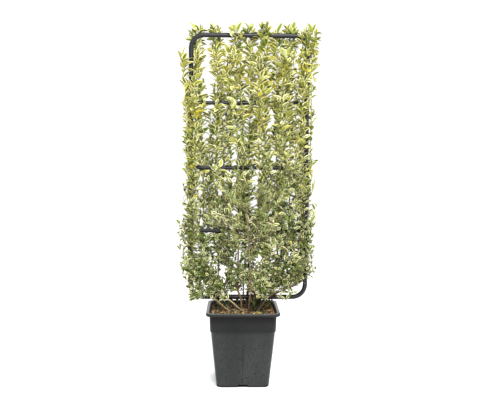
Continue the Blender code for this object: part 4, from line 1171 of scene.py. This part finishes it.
fallenValues = {
    "count": 46, "reach": 0.108, "length": (0.011, 0.021), "colours": ("edgePale", "edgeYellow", "heartOlive", "heartLime", "edgeCream"),
}
heartNames = ("heartDeep", "heartGreen", "heartOlive", "heartLime")
edgeNames = ("edgeCream", "edgeYellow", "edgePale")
leafBundles = {name: emptyBundle() for name in heartNames + edgeNames + ("wholeYellow",)}
twigBundles = {"green": emptyBundle(), "brown": emptyBundle()}
leafCells = {}
dice = random.Random(leafValues["seed"])
blocked = {"tree": None}
leafCount = {"all": 0, "skipped": 0}


def treeOf(bundles):
    points, faces = [], []
    for bundle in bundles:
        start = len(points)
        points += bundle["points"]
        faces += [[start + corner for corner in face] for face in bundle["faces"]]
    return BVHTree.FromPolygons(points, faces)


def highShare(height):
    # 0 at the crown's foot and 1 near its top.
    return min(max((height - 0.45) / 1.0, 0), 1)


def dressAt(place):
    # Which heart and edge a spray wears: greener and duller low down, golden at the top.
    high = highShare(place.z)
    dull = place.z > growthValues["dullFrom"]
    roll = dice.random() + 0.88 * high - 0.26 - 0.30 * dull
    heart = heartNames[0 if roll < 0.14 else 1 if roll < 0.55 else 2 if roll < 1.02 else 3]
    roll = dice.random() + 0.62 * high ** 1.8
    edge = edgeNames[2 if roll < 0.42 else 0 if roll < 1.05 else 1]
    if dice.random() < growthValues["plainShare"] * max(0, 1 - 2.2 * high):
        edge = "heartOlive"
    elif dull and dice.random() < growthValues["dullShare"]:
        edge = "heartLime"
    return heart, edge


def leafDress(place, dress):
    # A leaf mostly wears its spray's colours; a few, and those at the bright places, are yellow all over.
    for x, z in growthValues["accents"]:
        if math.hypot(place.x - x, place.z - z) < growthValues["accentReach"] and dice.random() < growthValues["accentShare"]:
            return "wholeYellow", "wholeYellow"
    if dice.random() < 0.001 + 0.005 * highShare(place.z):
        return "wholeYellow", "edgeYellow"
    if dice.random() < 0.15:
        return dressAt(place)
    return dress


def edgeAt(table, height):
    for (low, first), (top, last) in zip(table, table[1:]):
        if height <= top:
            return mix(first, last, max(0, (height - low) / (top - low)))
    return table[-1][1]


def inGap(point, margin=0.0):
    # Whether a point lies in one of the gaps where sky shows, whose edges are ragged.
    reach = 1 + growthValues["gapRagged"] * noise.noise(Vector((point.x * 70, 1.3, point.z * 70)))
    for x, z, wide, tall in growthValues["skyGaps"]:
        if ((point.x - x) / (wide + margin)) ** 2 + ((point.z - z) / (tall + margin)) ** 2 < reach:
            return True
    return False


def inCrown(point, inside=0.0):
    values = growthValues
    stray = values["ragged"] * noise.noise(Vector((4.0 * math.copysign(1, point.x), point.z * 24, 2.2)))
    left, right = edgeAt(values["leftEdge"], point.z) + stray, edgeAt(values["rightEdge"], point.z) + stray
    bottom = edgeAt(values["bottomEdge"], point.x) + abs(stray) * 0.5
    return left + inside <= point.x <= right - inside and point.z > bottom


def crownSpace(side, deep, height):
    # The space round one place of a shoot: its own side, and a little through the grid below the top bar.
    low, high = cadBox
    through = growthValues["through"] if height < growthValues["throughTop"] else -0.001
    nearY, farY = sorted((-side * through, side * deep))
    return (low[0], nearY, low[2]), (high[0], farY, high[2] - 0.0005)


def leavesPostClear(outline):
    # Few leaves lie before the right post, or beyond it.
    values = growthValues
    low, high = values["postClear"]
    middle = outline[2]
    if not low < middle.z < high:
        return True
    post = tubeValues["middleX"] + tubeValues["halfWidth"]
    near, far = values["postStrip"]
    if any(near < point.x - post < far and point.y < 0 for point in outline):
        return dice.random() > edgeAt(values["postShare"], middle.z)
    return middle.x < post or dice.random() > edgeAt(values["beyondShare"], middle.z)


def leavesViewClear(outline):
    # No leaf fills a gap of sky or hides a bare stretch of crossbar.
    values = growthValues
    if inGap(outline[0]) or inGap(outline[2]):
        return False
    for bar, left, right in values["bareBars"]:
        z = tubeValues["crossbars"][bar]
        if any(point.y < 0 and left < point.x < right and abs(point.z - z) < values["bareHalf"] for point in outline):
            return False
    return True


def leafFits(outline, space):
    # Inside its space, clear of tubes, limbs and ties, and not through an earlier leaf.
    low, high = space
    if not leavesPostClear(outline) or not leavesViewClear(outline):
        return None
    for point in outline:
        if not (low[0] <= point.x <= high[0] and low[1] <= point.y <= high[1] and low[2] <= point.z <= high[2]):
            return None
        if not inCrown(point):
            return None
    blade = BVHTree.FromPolygons(outline, [(0, 1, 2), (0, 2, 3), (1, 4, 2), (2, 4, 3)])
    if blade.overlap(blocked["tree"]):
        return None
    size = leafValues["cell"]
    middle = outline[2]
    home = tuple(math.floor(part / size) for part in middle)
    for x in (-1, 0, 1):
        for y in (-1, 0, 1):
            for z in (-1, 0, 1):
                for other, otherMiddle in leafCells.get((home[0] + x, home[1] + y, home[2] + z), ()):
                    if (otherMiddle - middle).length < 0.030 and blade.overlap(other):
                        return None
    return home, blade, middle


def growLeaf(root, axis, out, spread, twist, length, dress, space):
    # One leaf: folded along its midrib, arched over, with a green heart inside a pale edge.
    values = leafValues
    for attempt in range(3):
        stray = 0.28 * attempt
        aside = Matrix.Rotation(dice.uniform(-stray, stray), 3, axis)
        angle = spread + dice.uniform(-stray, stray) * 0.5
        along = (axis * math.cos(angle) + (aside @ out) * math.sin(angle)).normalized()
        normal = (axis - along * axis.dot(along)).normalized()
        normal.rotate(Matrix.Rotation(twist + dice.uniform(-stray, stray), 3, along))
        across = normal.cross(along)
        size = length * dice.uniform(0.84, 1.12) * (0.93 ** attempt)
        width = size * mix(dice.uniform(*values["widthLow"]), dice.uniform(*values["widthTop"]), highShare(root.z))
        curl = dice.uniform(*values["curl"]) * min(spread / values["curlFrom"], 1)

        def skin(share, side):
            lift = values["fold"] * abs(side) * width - curl * size * share * share
            return root + along * size * share + normal * lift + across * side * width

        outline = [skin(0.24, 0), skin(0.50, -0.46), skin(0.55, 0), skin(0.50, 0.46), skin(1, 0)]
        fit = leafFits(outline, space)
        if fit:
            break
    else:
        leafCount["skipped"] += 1
        return False
    home, blade, middle = fit
    leafCells.setdefault(home, []).append((blade, middle))
    leafCount["all"] += 1
    heart, edge = leafDress(middle, dress)
    inner = dice.uniform(*values["heart"])
    rows = []
    for share, half in values["rows"]:
        left, right = inner * dice.uniform(0.75, 1.2), inner * dice.uniform(0.75, 1.2)
        rows.append((
            skin(share, -half), skin(share, -half * min(left, 0.92)), skin(share, 0),
            skin(share, half * min(right, 0.92)), skin(share, half)))
    foot, neck = skin(0, 0), values["petiole"]
    stalk = [foot - across * 0.0005, foot + across * 0.0005, skin(neck, 0.03), skin(neck, -0.03)]
    heartEnd, tip = skin(values["heartEnd"], 0), skin(1, 0)
    # The heart: stalk, then the strips on both sides of the midrib.
    points = stalk + [point for row in rows for point in row[1:4]] + [heartEnd]
    faces = [(0, 1, 2, 3), (3, 2, 5), (3, 5, 4), (2, 6, 5)]
    for number in range(len(rows) - 1):
        low, high = 4 + 3 * number, 7 + 3 * number
        faces += [(low, low + 1, high + 1, high), (low + 1, low + 2, high + 2, high + 1)]
    last = 4 + 3 * (len(rows) - 1)
    faces += [(last, last + 1, last + 3), (last + 1, last + 2, last + 3)]
    addToBundle(leafBundles[heart], points, faces)
    # The edge: one strip down each side, closed round the tip.
    points = [stalk[3], stalk[2]] + [point for row in rows for point in (row[0], row[1], row[3], row[4])] + [heartEnd, tip]
    faces = [(0, 3, 2), (1, 5, 4)]
    for number in range(len(rows) - 1):
        low, high = 2 + 4 * number, 6 + 4 * number
        faces += [(low, low + 1, high + 1, high), (low + 2, low + 3, high + 3, high + 2)]
    last = 2 + 4 * (len(rows) - 1)
    faces += [(last, last + 1, last + 4, last + 5), (last + 3, last + 5, last + 4, last + 2)]
    addToBundle(leafBundles[edge], points, faces)
    return True


def twigFits(points, radius):
    for start, end in zip(points, points[1:]):
        run = end - start
        if blocked["tree"].ray_cast(start, run.normalized(), run.length)[0] is not None:
            return False
        if blocked["tree"].find_nearest(end, radius + 0.0006)[0] is not None:
            return False
    return True


def growTwig(root, along, length, leafLength, space, finer=0):
    # A side twig that bends upwards, with pairs of leaves and a tuft at its tip.
    steps = max(3, round(length / 0.012))
    points, aim = [root.copy()], along.copy()
    sideways = level(dice.uniform(0, math.tau)) * 0.10
    for step in range(steps):
        aim = (aim + up * 0.55 / steps + sideways / steps).normalized()
        points.append(points[-1] + aim * length / steps)
    low, high = space
    end = points[-1]
    if not (low[0] < end.x < high[0] and low[1] < end.y < high[1] and low[2] < end.z < high[2]):
        return False
    middle = points[len(points) // 2]
    if not inCrown(end) or not inCrown(middle) or inGap(end) or inGap(middle):
        return False
    if not twigFits(points[1:], growthValues["twigRadius"]):
        return False
    radius = growthValues["twigRadius"] * (0.75 + 4 * length)
    colour = "brown" if root.z < 0.75 and dice.random() < 0.55 else "green"
    sweep(twigBundles[colour], points, taper(len(points), radius, radius * 0.45), 5, tip=True)
    pairs = max(2, round(length * 0.82 / growthValues["twigStep"]))
    turn = dice.uniform(0, math.pi)
    dress = dressAt(end)
    for pair in range(pairs):
        share = 0.2 + 0.76 * pair / max(pairs - 1, 1)
        spot, axis = alongPath(points, share)
        cross = axis.orthogonal().normalized()
        cross.rotate(Matrix.Rotation(turn + pair * math.pi / 2, 3, axis))
        for sign in (1, -1):
            if finer and pair and dice.random() < finer:
                aim = (axis * 0.9 + cross * sign).normalized()
                growTwig(spot, aim, length * dice.uniform(0.3, 0.5), leafLength * 0.92, space)
                continue
            size = leafLength * mix(0.8, 1.1, math.sin(math.pi * share)) * dice.uniform(0.85, 1.12)
            twist = dice.uniform(-0.7, 0.7)
            growLeaf(spot, axis, cross * sign, dice.uniform(0.6, 1.0), twist, size, dress, space)
    spot, axis = alongPath(points, 1)
    cross = level(dice.uniform(0, math.tau))
    cross = (cross - axis * axis.dot(cross)).normalized()
    for sign in (1, -1):
        growLeaf(spot, axis, cross * sign, dice.uniform(0.2, 0.45), dice.uniform(-0.6, 0.6), leafLength * 0.8, dress, space)
    return True


def growSideShoot(root, out, length, number):
    # A long side shoot that turns upright beside its own shoot and carries pairs like it.
    values = growthValues
    side = shootSide(number)
    offset = out * dice.uniform(*values["sideOut"])
    offset.y = side * (abs(offset.y) + dice.uniform(0.004, 0.020))
    knee = root + offset + up * dice.uniform(0.030, 0.050)
    length = min(length, shootTip(number) - values["sideBelowTip"] - knee.z)
    top = knee + up * length + Vector((dice.uniform(-0.010, 0.010), dice.uniform(-0.006, 0.006), 0))
    points = smoothPath([root.copy(), knee, (knee + top) / 2 + level(dice.uniform(0, math.tau)) * 0.004, top], 7)
    space = crownSpace(side, values["lowDepth"], top.z)
    inside = values["sideInside"] + (0.008 if root.x > 0.2 else 0)
    if any(not inCrown(point, inside) or inGap(point) for point in points[3:]):
        return False
    if not twigFits(points[2:], values["sideRadius"][0]):
        return False
    colour = "brown" if root.z < 0.75 else "green"
    sweep(twigBundles[colour], points, taper(len(points), *values["sideRadius"]), 6, tip=True)
    run = length + 0.04
    nodes = round(run / values["nodeStepLow"])
    dress = dressAt(top)
    for node in range(1, nodes + 1):
        point, axis = alongPath(points, 0.12 + 0.88 * node / nodes)
        height = min(max((point.z - 0.5) / 0.75, 0), 1)
        size = mix(leafValues["lengthLow"], leafValues["lengthTop"], height) * (0.92 if node < nodes else 0.8)
        turn = dice.uniform(-0.3, 0.3) + (math.pi / 2 if node % 2 else 0)
        if node % 6 == 0:
            dress = dressAt(point)
        for sign in (1, -1):
            spreadOut = level(turn) * sign
            if dice.random() < values["tuftShare"] and node < nodes - 2:
                aim = (axis + spreadOut).normalized()
                if growTwig(point, aim, dice.uniform(*values["tuftLength"]), values["twigLeaf"], space):
                    continue
            growLeaf(point, axis, spreadOut, dice.uniform(0.55, 1.0), dice.uniform(-0.9, 0.9), size, dress, space)
    return True


def growBarTwigs(number, path):
    # The twigs of a shoot behind the frame that come forward below each crossbar and hide part of it.
    values = growthValues
    foot, tip = path[0].z, path[-1].z
    low, high = cadBox
    space = ((low[0], -values["barThrough"], low[2]), (high[0], values["depth"], high[2]))
    for bar in tubeValues["crossbars"].values():
        for place in range(values["barTwigs"]):
            z = bar - dice.uniform(*values["barBelow"])
            if not foot + 0.01 < z < tip - 0.05:
                continue
            point, axis = alongPath(path, (z - foot) / (tip - foot))
            aim = (level(-math.pi / 2 + dice.uniform(-0.7, 0.7)) + up * dice.uniform(0.35, 0.6)).normalized()
            growTwig(point, aim, dice.uniform(*values["barTwigLength"]), values["twigLeaf"], space)


def growShoot(number):
    # One upright shoot by the source's rule: crossed pairs of leaves, and leafy twigs low down.
    values = growthValues
    side = shootSide(number)
    path = shootPath(number)
    foot, tip = path[0].z, path[-1].z
    outward = side * math.pi / 2
    z = foot + 0.012
    node = 0
    while z < tip:
        share = (z - foot) / (tip - foot)
        point, axis = alongPath(path, share)
        bushy = z < values["bushyTop"]
        deep = values["lowDepth"] if bushy else values["depth"]
        space = crownSpace(side, deep, z)
        height = min(max((z - 0.5) / 0.75, 0), 1)
        length = mix(leafValues["lengthLow"], leafValues["lengthTop"], height)
        dress = dressAt(point)
        sideways = node % 2 == 1
        for sign in (1, -1):
            # Below the top bar the crossed pairs also look through the grid.
            across = 0.60 if z > values["throughTop"] else 0.60 if sign > 0 else math.pi - 0.30
            lean = math.pi / 2 - 0.22 if sideways else across
            out = level(outward + sign * (lean + dice.uniform(-0.35, 0.35)))
            leafy = values["twigShare"] if bushy else values["tuftShare"]
            if number == 0:
                # The first shoot hides the left post up to a height.
                leafy = values["coverShare"] * (z < values["coverTop"])
            elif z > tip - values["topTuftReach"]:
                leafy += values["topTuftShare"]
            if values["fillLow"] < z < values["fillTop"]:
                leafy += values["fillShare"]
            if z > values["thickFrom"]:
                leafy += values["thickShoots"].get(number, 0)
            if dice.random() < leafy:
                aim = (axis * dice.uniform(0.5, 1.1) + out).normalized()
                reach = dice.uniform(*(values["twigLength"] if bushy else values["tuftLength"]))
                growTwig(point, aim, reach, values["twigLeaf"] * mix(1, 1.35, height), space)
            twist = sign * dice.uniform(0.2, 1.1) if sideways else dice.uniform(-0.5, 0.5)
            growLeaf(point, axis, out, dice.uniform(0.50, 0.95), twist, length, dress, space)
            if z < values["coverTop"] if number == 0 else bushy and dice.random() < values["lowCover"]:
                # Leaves that stand close along the stem on the viewer's side hide it.
                facing = level(-math.pi / 2 + sign * dice.uniform(0.1, 0.7))
                growLeaf(point, axis, facing, dice.uniform(*values["coverSpread"]), 0.3 * sign, length, dress, space)
        node += 1
        nearTip = max(0, (z - (tip - 0.08)) / 0.08)
        step = mix(values["nodeStepLow"], values["nodeStepTop"], height) * (1 - 0.4 * nearTip)
        z += step * dice.uniform(0.85, 1.15)
    point, axis = alongPath(path, 1)
    space = crownSpace(side, values["depth"], tip)
    for pair, (spread, drop) in enumerate(values["tipPairs"]):
        for sign in (1, -1):
            out = level(dice.uniform(-0.5, 0.5) + (0 if sign > 0 else math.pi) + (pair % 2) * 1.15)
            twist = sign * dice.uniform(0.4, 1.3)
            place = point + axis * (values["tipRise"] - drop)
            growLeaf(place, axis, out, spread * dice.uniform(0.85, 1.2), twist, leafValues["lengthTip"], dressAt(point), space)
    if side > 0:
        growBarTwigs(number, path)
    count = values["sideShoots"][number]
    last = min(values["sideTo"], tip - 0.16)
    for place in range(count):
        for attempt in range(values["sideTries"]):
            z = mix(values["sideFrom"], last, ((place + dice.uniform(0.1, 0.9)) / count) ** values["sidePower"])
            point, axis = alongPath(path, (z - foot) / (tip - foot))
            sign = 1 if (place + attempt) % 2 else -1
            out = level(outward + sign * dice.uniform(0.9, 1.5))
            if growSideShoot(point, out, dice.uniform(*values["sideLength"]), number):
                break


def shootSkins():
    # The main shoots' own skins: brown below, green above, with a knuckle at each node.
    coarse = emptyBundle()
    for number in range(len(shootValues["places"])):
        path = shootPath(number)
        fine = smoothPath(path, 12)
        radii = taper(len(fine), shootValues["footRadius"], shootValues["tipRadius"] * 0.8)

        def knuckles(point, turn, ring):
            return 1 + 0.10 * noise.noise(point * 220) + (0.16 if ring % 2 else 0)

        border = next(index for index, point in enumerate(fine) if point.z > 0.86)
        sweep(twigBundles["brown"], fine[:border + 1], radii[:border + 1], 7, knuckles)
        sweep(twigBundles["green"], fine[border:], radii[border:], 7, knuckles, tip=True)
        sweep(coarse, path, taper(len(path), shootValues["footRadius"], shootValues["tipRadius"]), 4)
    return coarse


def growLimbTwigs():
    # Leafy twigs off the stems and boughs between the soil and the shoots.
    values = growthValues
    low, high = (Vector(corner) for corner in cadBox)
    for node, points, radii, bark in limbLines():
        side = math.copysign(1, points[-1].y)
        nearY, farY = sorted((side * 0.001, side * values["lowDepth"]))
        space = ((low.x, nearY, 0.341), (high.x, farY, values["limbTwigTop"]))
        fine, fineRadii = finerPath(points, radii, values["limbTwigStep"])
        for point, after in zip(fine, fine[1:]):
            inFan = abs(point.x - values["fanMiddle"]) < values["fanHalf"] and point.z < values["fanTop"]
            if point.z < values["limbTwigFrom"] or (inFan and point.y < 0):
                continue
            axis = (after - point).normalized()
            for sign in (1, -1):
                out = level(dice.uniform(0, math.tau)) + up * dice.uniform(-0.1, 0.9)
                aim = (out - axis * axis.dot(out) * 0.5).normalized()
                growTwig(point, aim, dice.uniform(*values["limbTwigLength"]), values["twigLeaf"] * 0.9, space, 0.25)


def growLowMass(word):
    # A bushy mass round the foot, or before and behind the lower half: forking twigs off a short stem.
    foot, end, low, high = lowValues["masses"][word]
    path = lowPath(word)
    upright = abs((path[-1] - path[0]).normalized().z) > 0.7
    fine = smoothPath(path, 6)
    sweep(twigBundles["brown"], fine, taper(len(fine), lowValues["footRadius"], lowValues["tipRadius"]), 7, tip=True)
    inwards = -math.copysign(1, foot[1])
    if upright:
        # The twigs of an upright mass reach in among the shoots.
        nearY, farY = sorted((-inwards * growthValues["lowInside"], -inwards * max(abs(low[1]), abs(high[1]))))
        space = ((low[0], nearY, low[2]), (high[0], farY, high[2]))
    else:
        space = (low, (high[0], high[1], high[2] + growthValues["lowRise"]))
    nodes = 17 if upright else 19
    for node in range(nodes):
        point, axis = alongPath(path, (node + 0.4) / nodes)
        for sign in (1, -1):
            across = Vector((1, 0, 0)) if upright else up
            tilt = Vector((0, inwards * dice.uniform(-0.3, 1.4) if upright else dice.uniform(-0.45, 0.45), 0))
            aim = (across * sign + axis * dice.uniform(0.25, 0.8) + tilt).normalized()
            longest = 0.215 if upright else 0.140
            growTwig(point, aim, dice.uniform(0.35, 1.0) * longest, growthValues["twigLeaf"], space, 0.35)


def addPlainLeaf(root, turn, length, colour, lying=False):
    # A small leaf of one colour, left out where it would touch a limb or the frame.
    shape = (
        (0, 0, 0), (0.5, 0.35, 0.08), (0.4, 0.7, 0.12), (0, 1, 0.04), (-0.4, 0.7, 0.12), (-0.5, 0.35, 0.08), (0, 0.5, 0))
    points = [root + turn @ Vector((side * length * 0.45, share * length, lift * length)) for side, share, lift in shape]
    faces = [(6, 0, 1), (6, 1, 2), (6, 2, 3), (6, 3, 4), (6, 4, 5), (6, 5, 0)]
    if not lying and treeOf([{"points": points, "faces": faces}]).overlap(blocked["tree"]):
        return
    addToBundle(leafBundles[colour], points, faces)


def growFootSprouts():
    # Short sprouts and bare twigs that come out of the compost behind and beside the stems.
    values = sproutValues
    for x, y, wide, deep, sprouts, twigs in values["patches"]:
        for number in range(sprouts + twigs):
            leafy = number < sprouts
            place = Vector((x + wide * dice.uniform(-1, 1), y + deep * dice.uniform(-1, 1), 0))
            place.z = groundHeight(place.x, place.y) - 0.004
            height = dice.uniform(*values["height" if leafy else "twigHeight"])
            lean = level(dice.uniform(0, math.tau)) * height * dice.uniform(0.1, 0.55)
            bow = level(dice.uniform(0, math.tau)) * height * 0.08
            points = [place, place + lean * 0.4 + up * height * 0.5 + bow, place + lean + up * (height + 0.004)]
            points = smoothPath(points, 4)
            if not twigFits([point for point in points if point.z > potValues["height"] - 0.010], 0.001):
                continue
            sweep(twigBundles["green" if leafy else "brown"], points, taper(len(points), 0.0011, 0.0006), 5, tip=True)
            for node in range(2, round(height / values["step"]) * leafy):
                spot, axis = alongPath(points, node * values["step"] / height)
                for side in (0, math.pi):
                    turn = Matrix.Rotation(side + node * math.pi / 2 + dice.uniform(-0.4, 0.4), 3, "Z")
                    turn = turn @ Matrix.Rotation(dice.uniform(0.2, 0.8), 3, "X")
                    addPlainLeaf(spot, turn, dice.uniform(*values["leaf"]), dice.choice(values["colours"]))


def scatterFallenLeaves():
    # Old leaves that lie on the compost, most of them at the left and the front.
    values = fallenValues
    for number in range(values["count"]):
        x, y = (max(dice.uniform(-1, 1) - 0.3 * dice.random(), -1) * values["reach"] for part in "xy")
        turn = Matrix.Rotation(dice.uniform(0, math.tau), 3, "Z") @ Matrix.Rotation(dice.gauss(0, 0.35), 3, "X")
        root = Vector((x, y, groundHeight(x, y) + dice.uniform(0.002, 0.005)))
        addPlainLeaf(root, turn, dice.uniform(*values["length"]), dice.choice(values["colours"]), True)


def buildFoliage(obstacles):
    blocked["tree"] = treeOf(obstacles + [shootSkins()])
    for number in range(len(shootValues["places"])):
        growShoot(number)
    for word in lowValues["masses"]:
        growLowMass(word)
    growLimbTwigs()
    growFootSprouts()
    scatterFallenLeaves()
    foliageNodes = [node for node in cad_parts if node.startswith("foliage_")]
    for name, bundle in leafBundles.items():
        replaced = foliageNodes if name == "heartGreen" else ()
        mesh = meshOf(name, bundle)
        addPiece(f"{name}Leaves", mesh, makeLeafMaterial(name), replaced)
        print(name, len(bundle["faces"]), "faces")
    for name, bundle in twigBundles.items():
        addPiece(f"{name}Twigs", meshOf(f"{name}Twigs", bundle), barkMaterials[name])
    print("leaves:", leafCount["all"], "skipped:", leafCount["skipped"])


# everything in turn

barkMaterials = {name: makeBarkMaterial(name) for name in barkFinish}
addCamera()
addStage()
buildPot()
buildGround()
hoop, crossbars = buildTubes()
limbShapes = buildLimbs()
tieShapes = buildTies()
tubeShapes = [
    {"points": [vert.co.copy() for vert in piece.data.vertices], "faces": [tuple(face.vertices) for face in piece.data.polygons]}
    for piece in (hoop, crossbars)]
potShape = boxBundle((-0.1545, -0.1545, 0.0), (0.1545, 0.1545, 0.306))
buildFoliage(tubeShapes + [limbShapes, tieShapes, potShape])
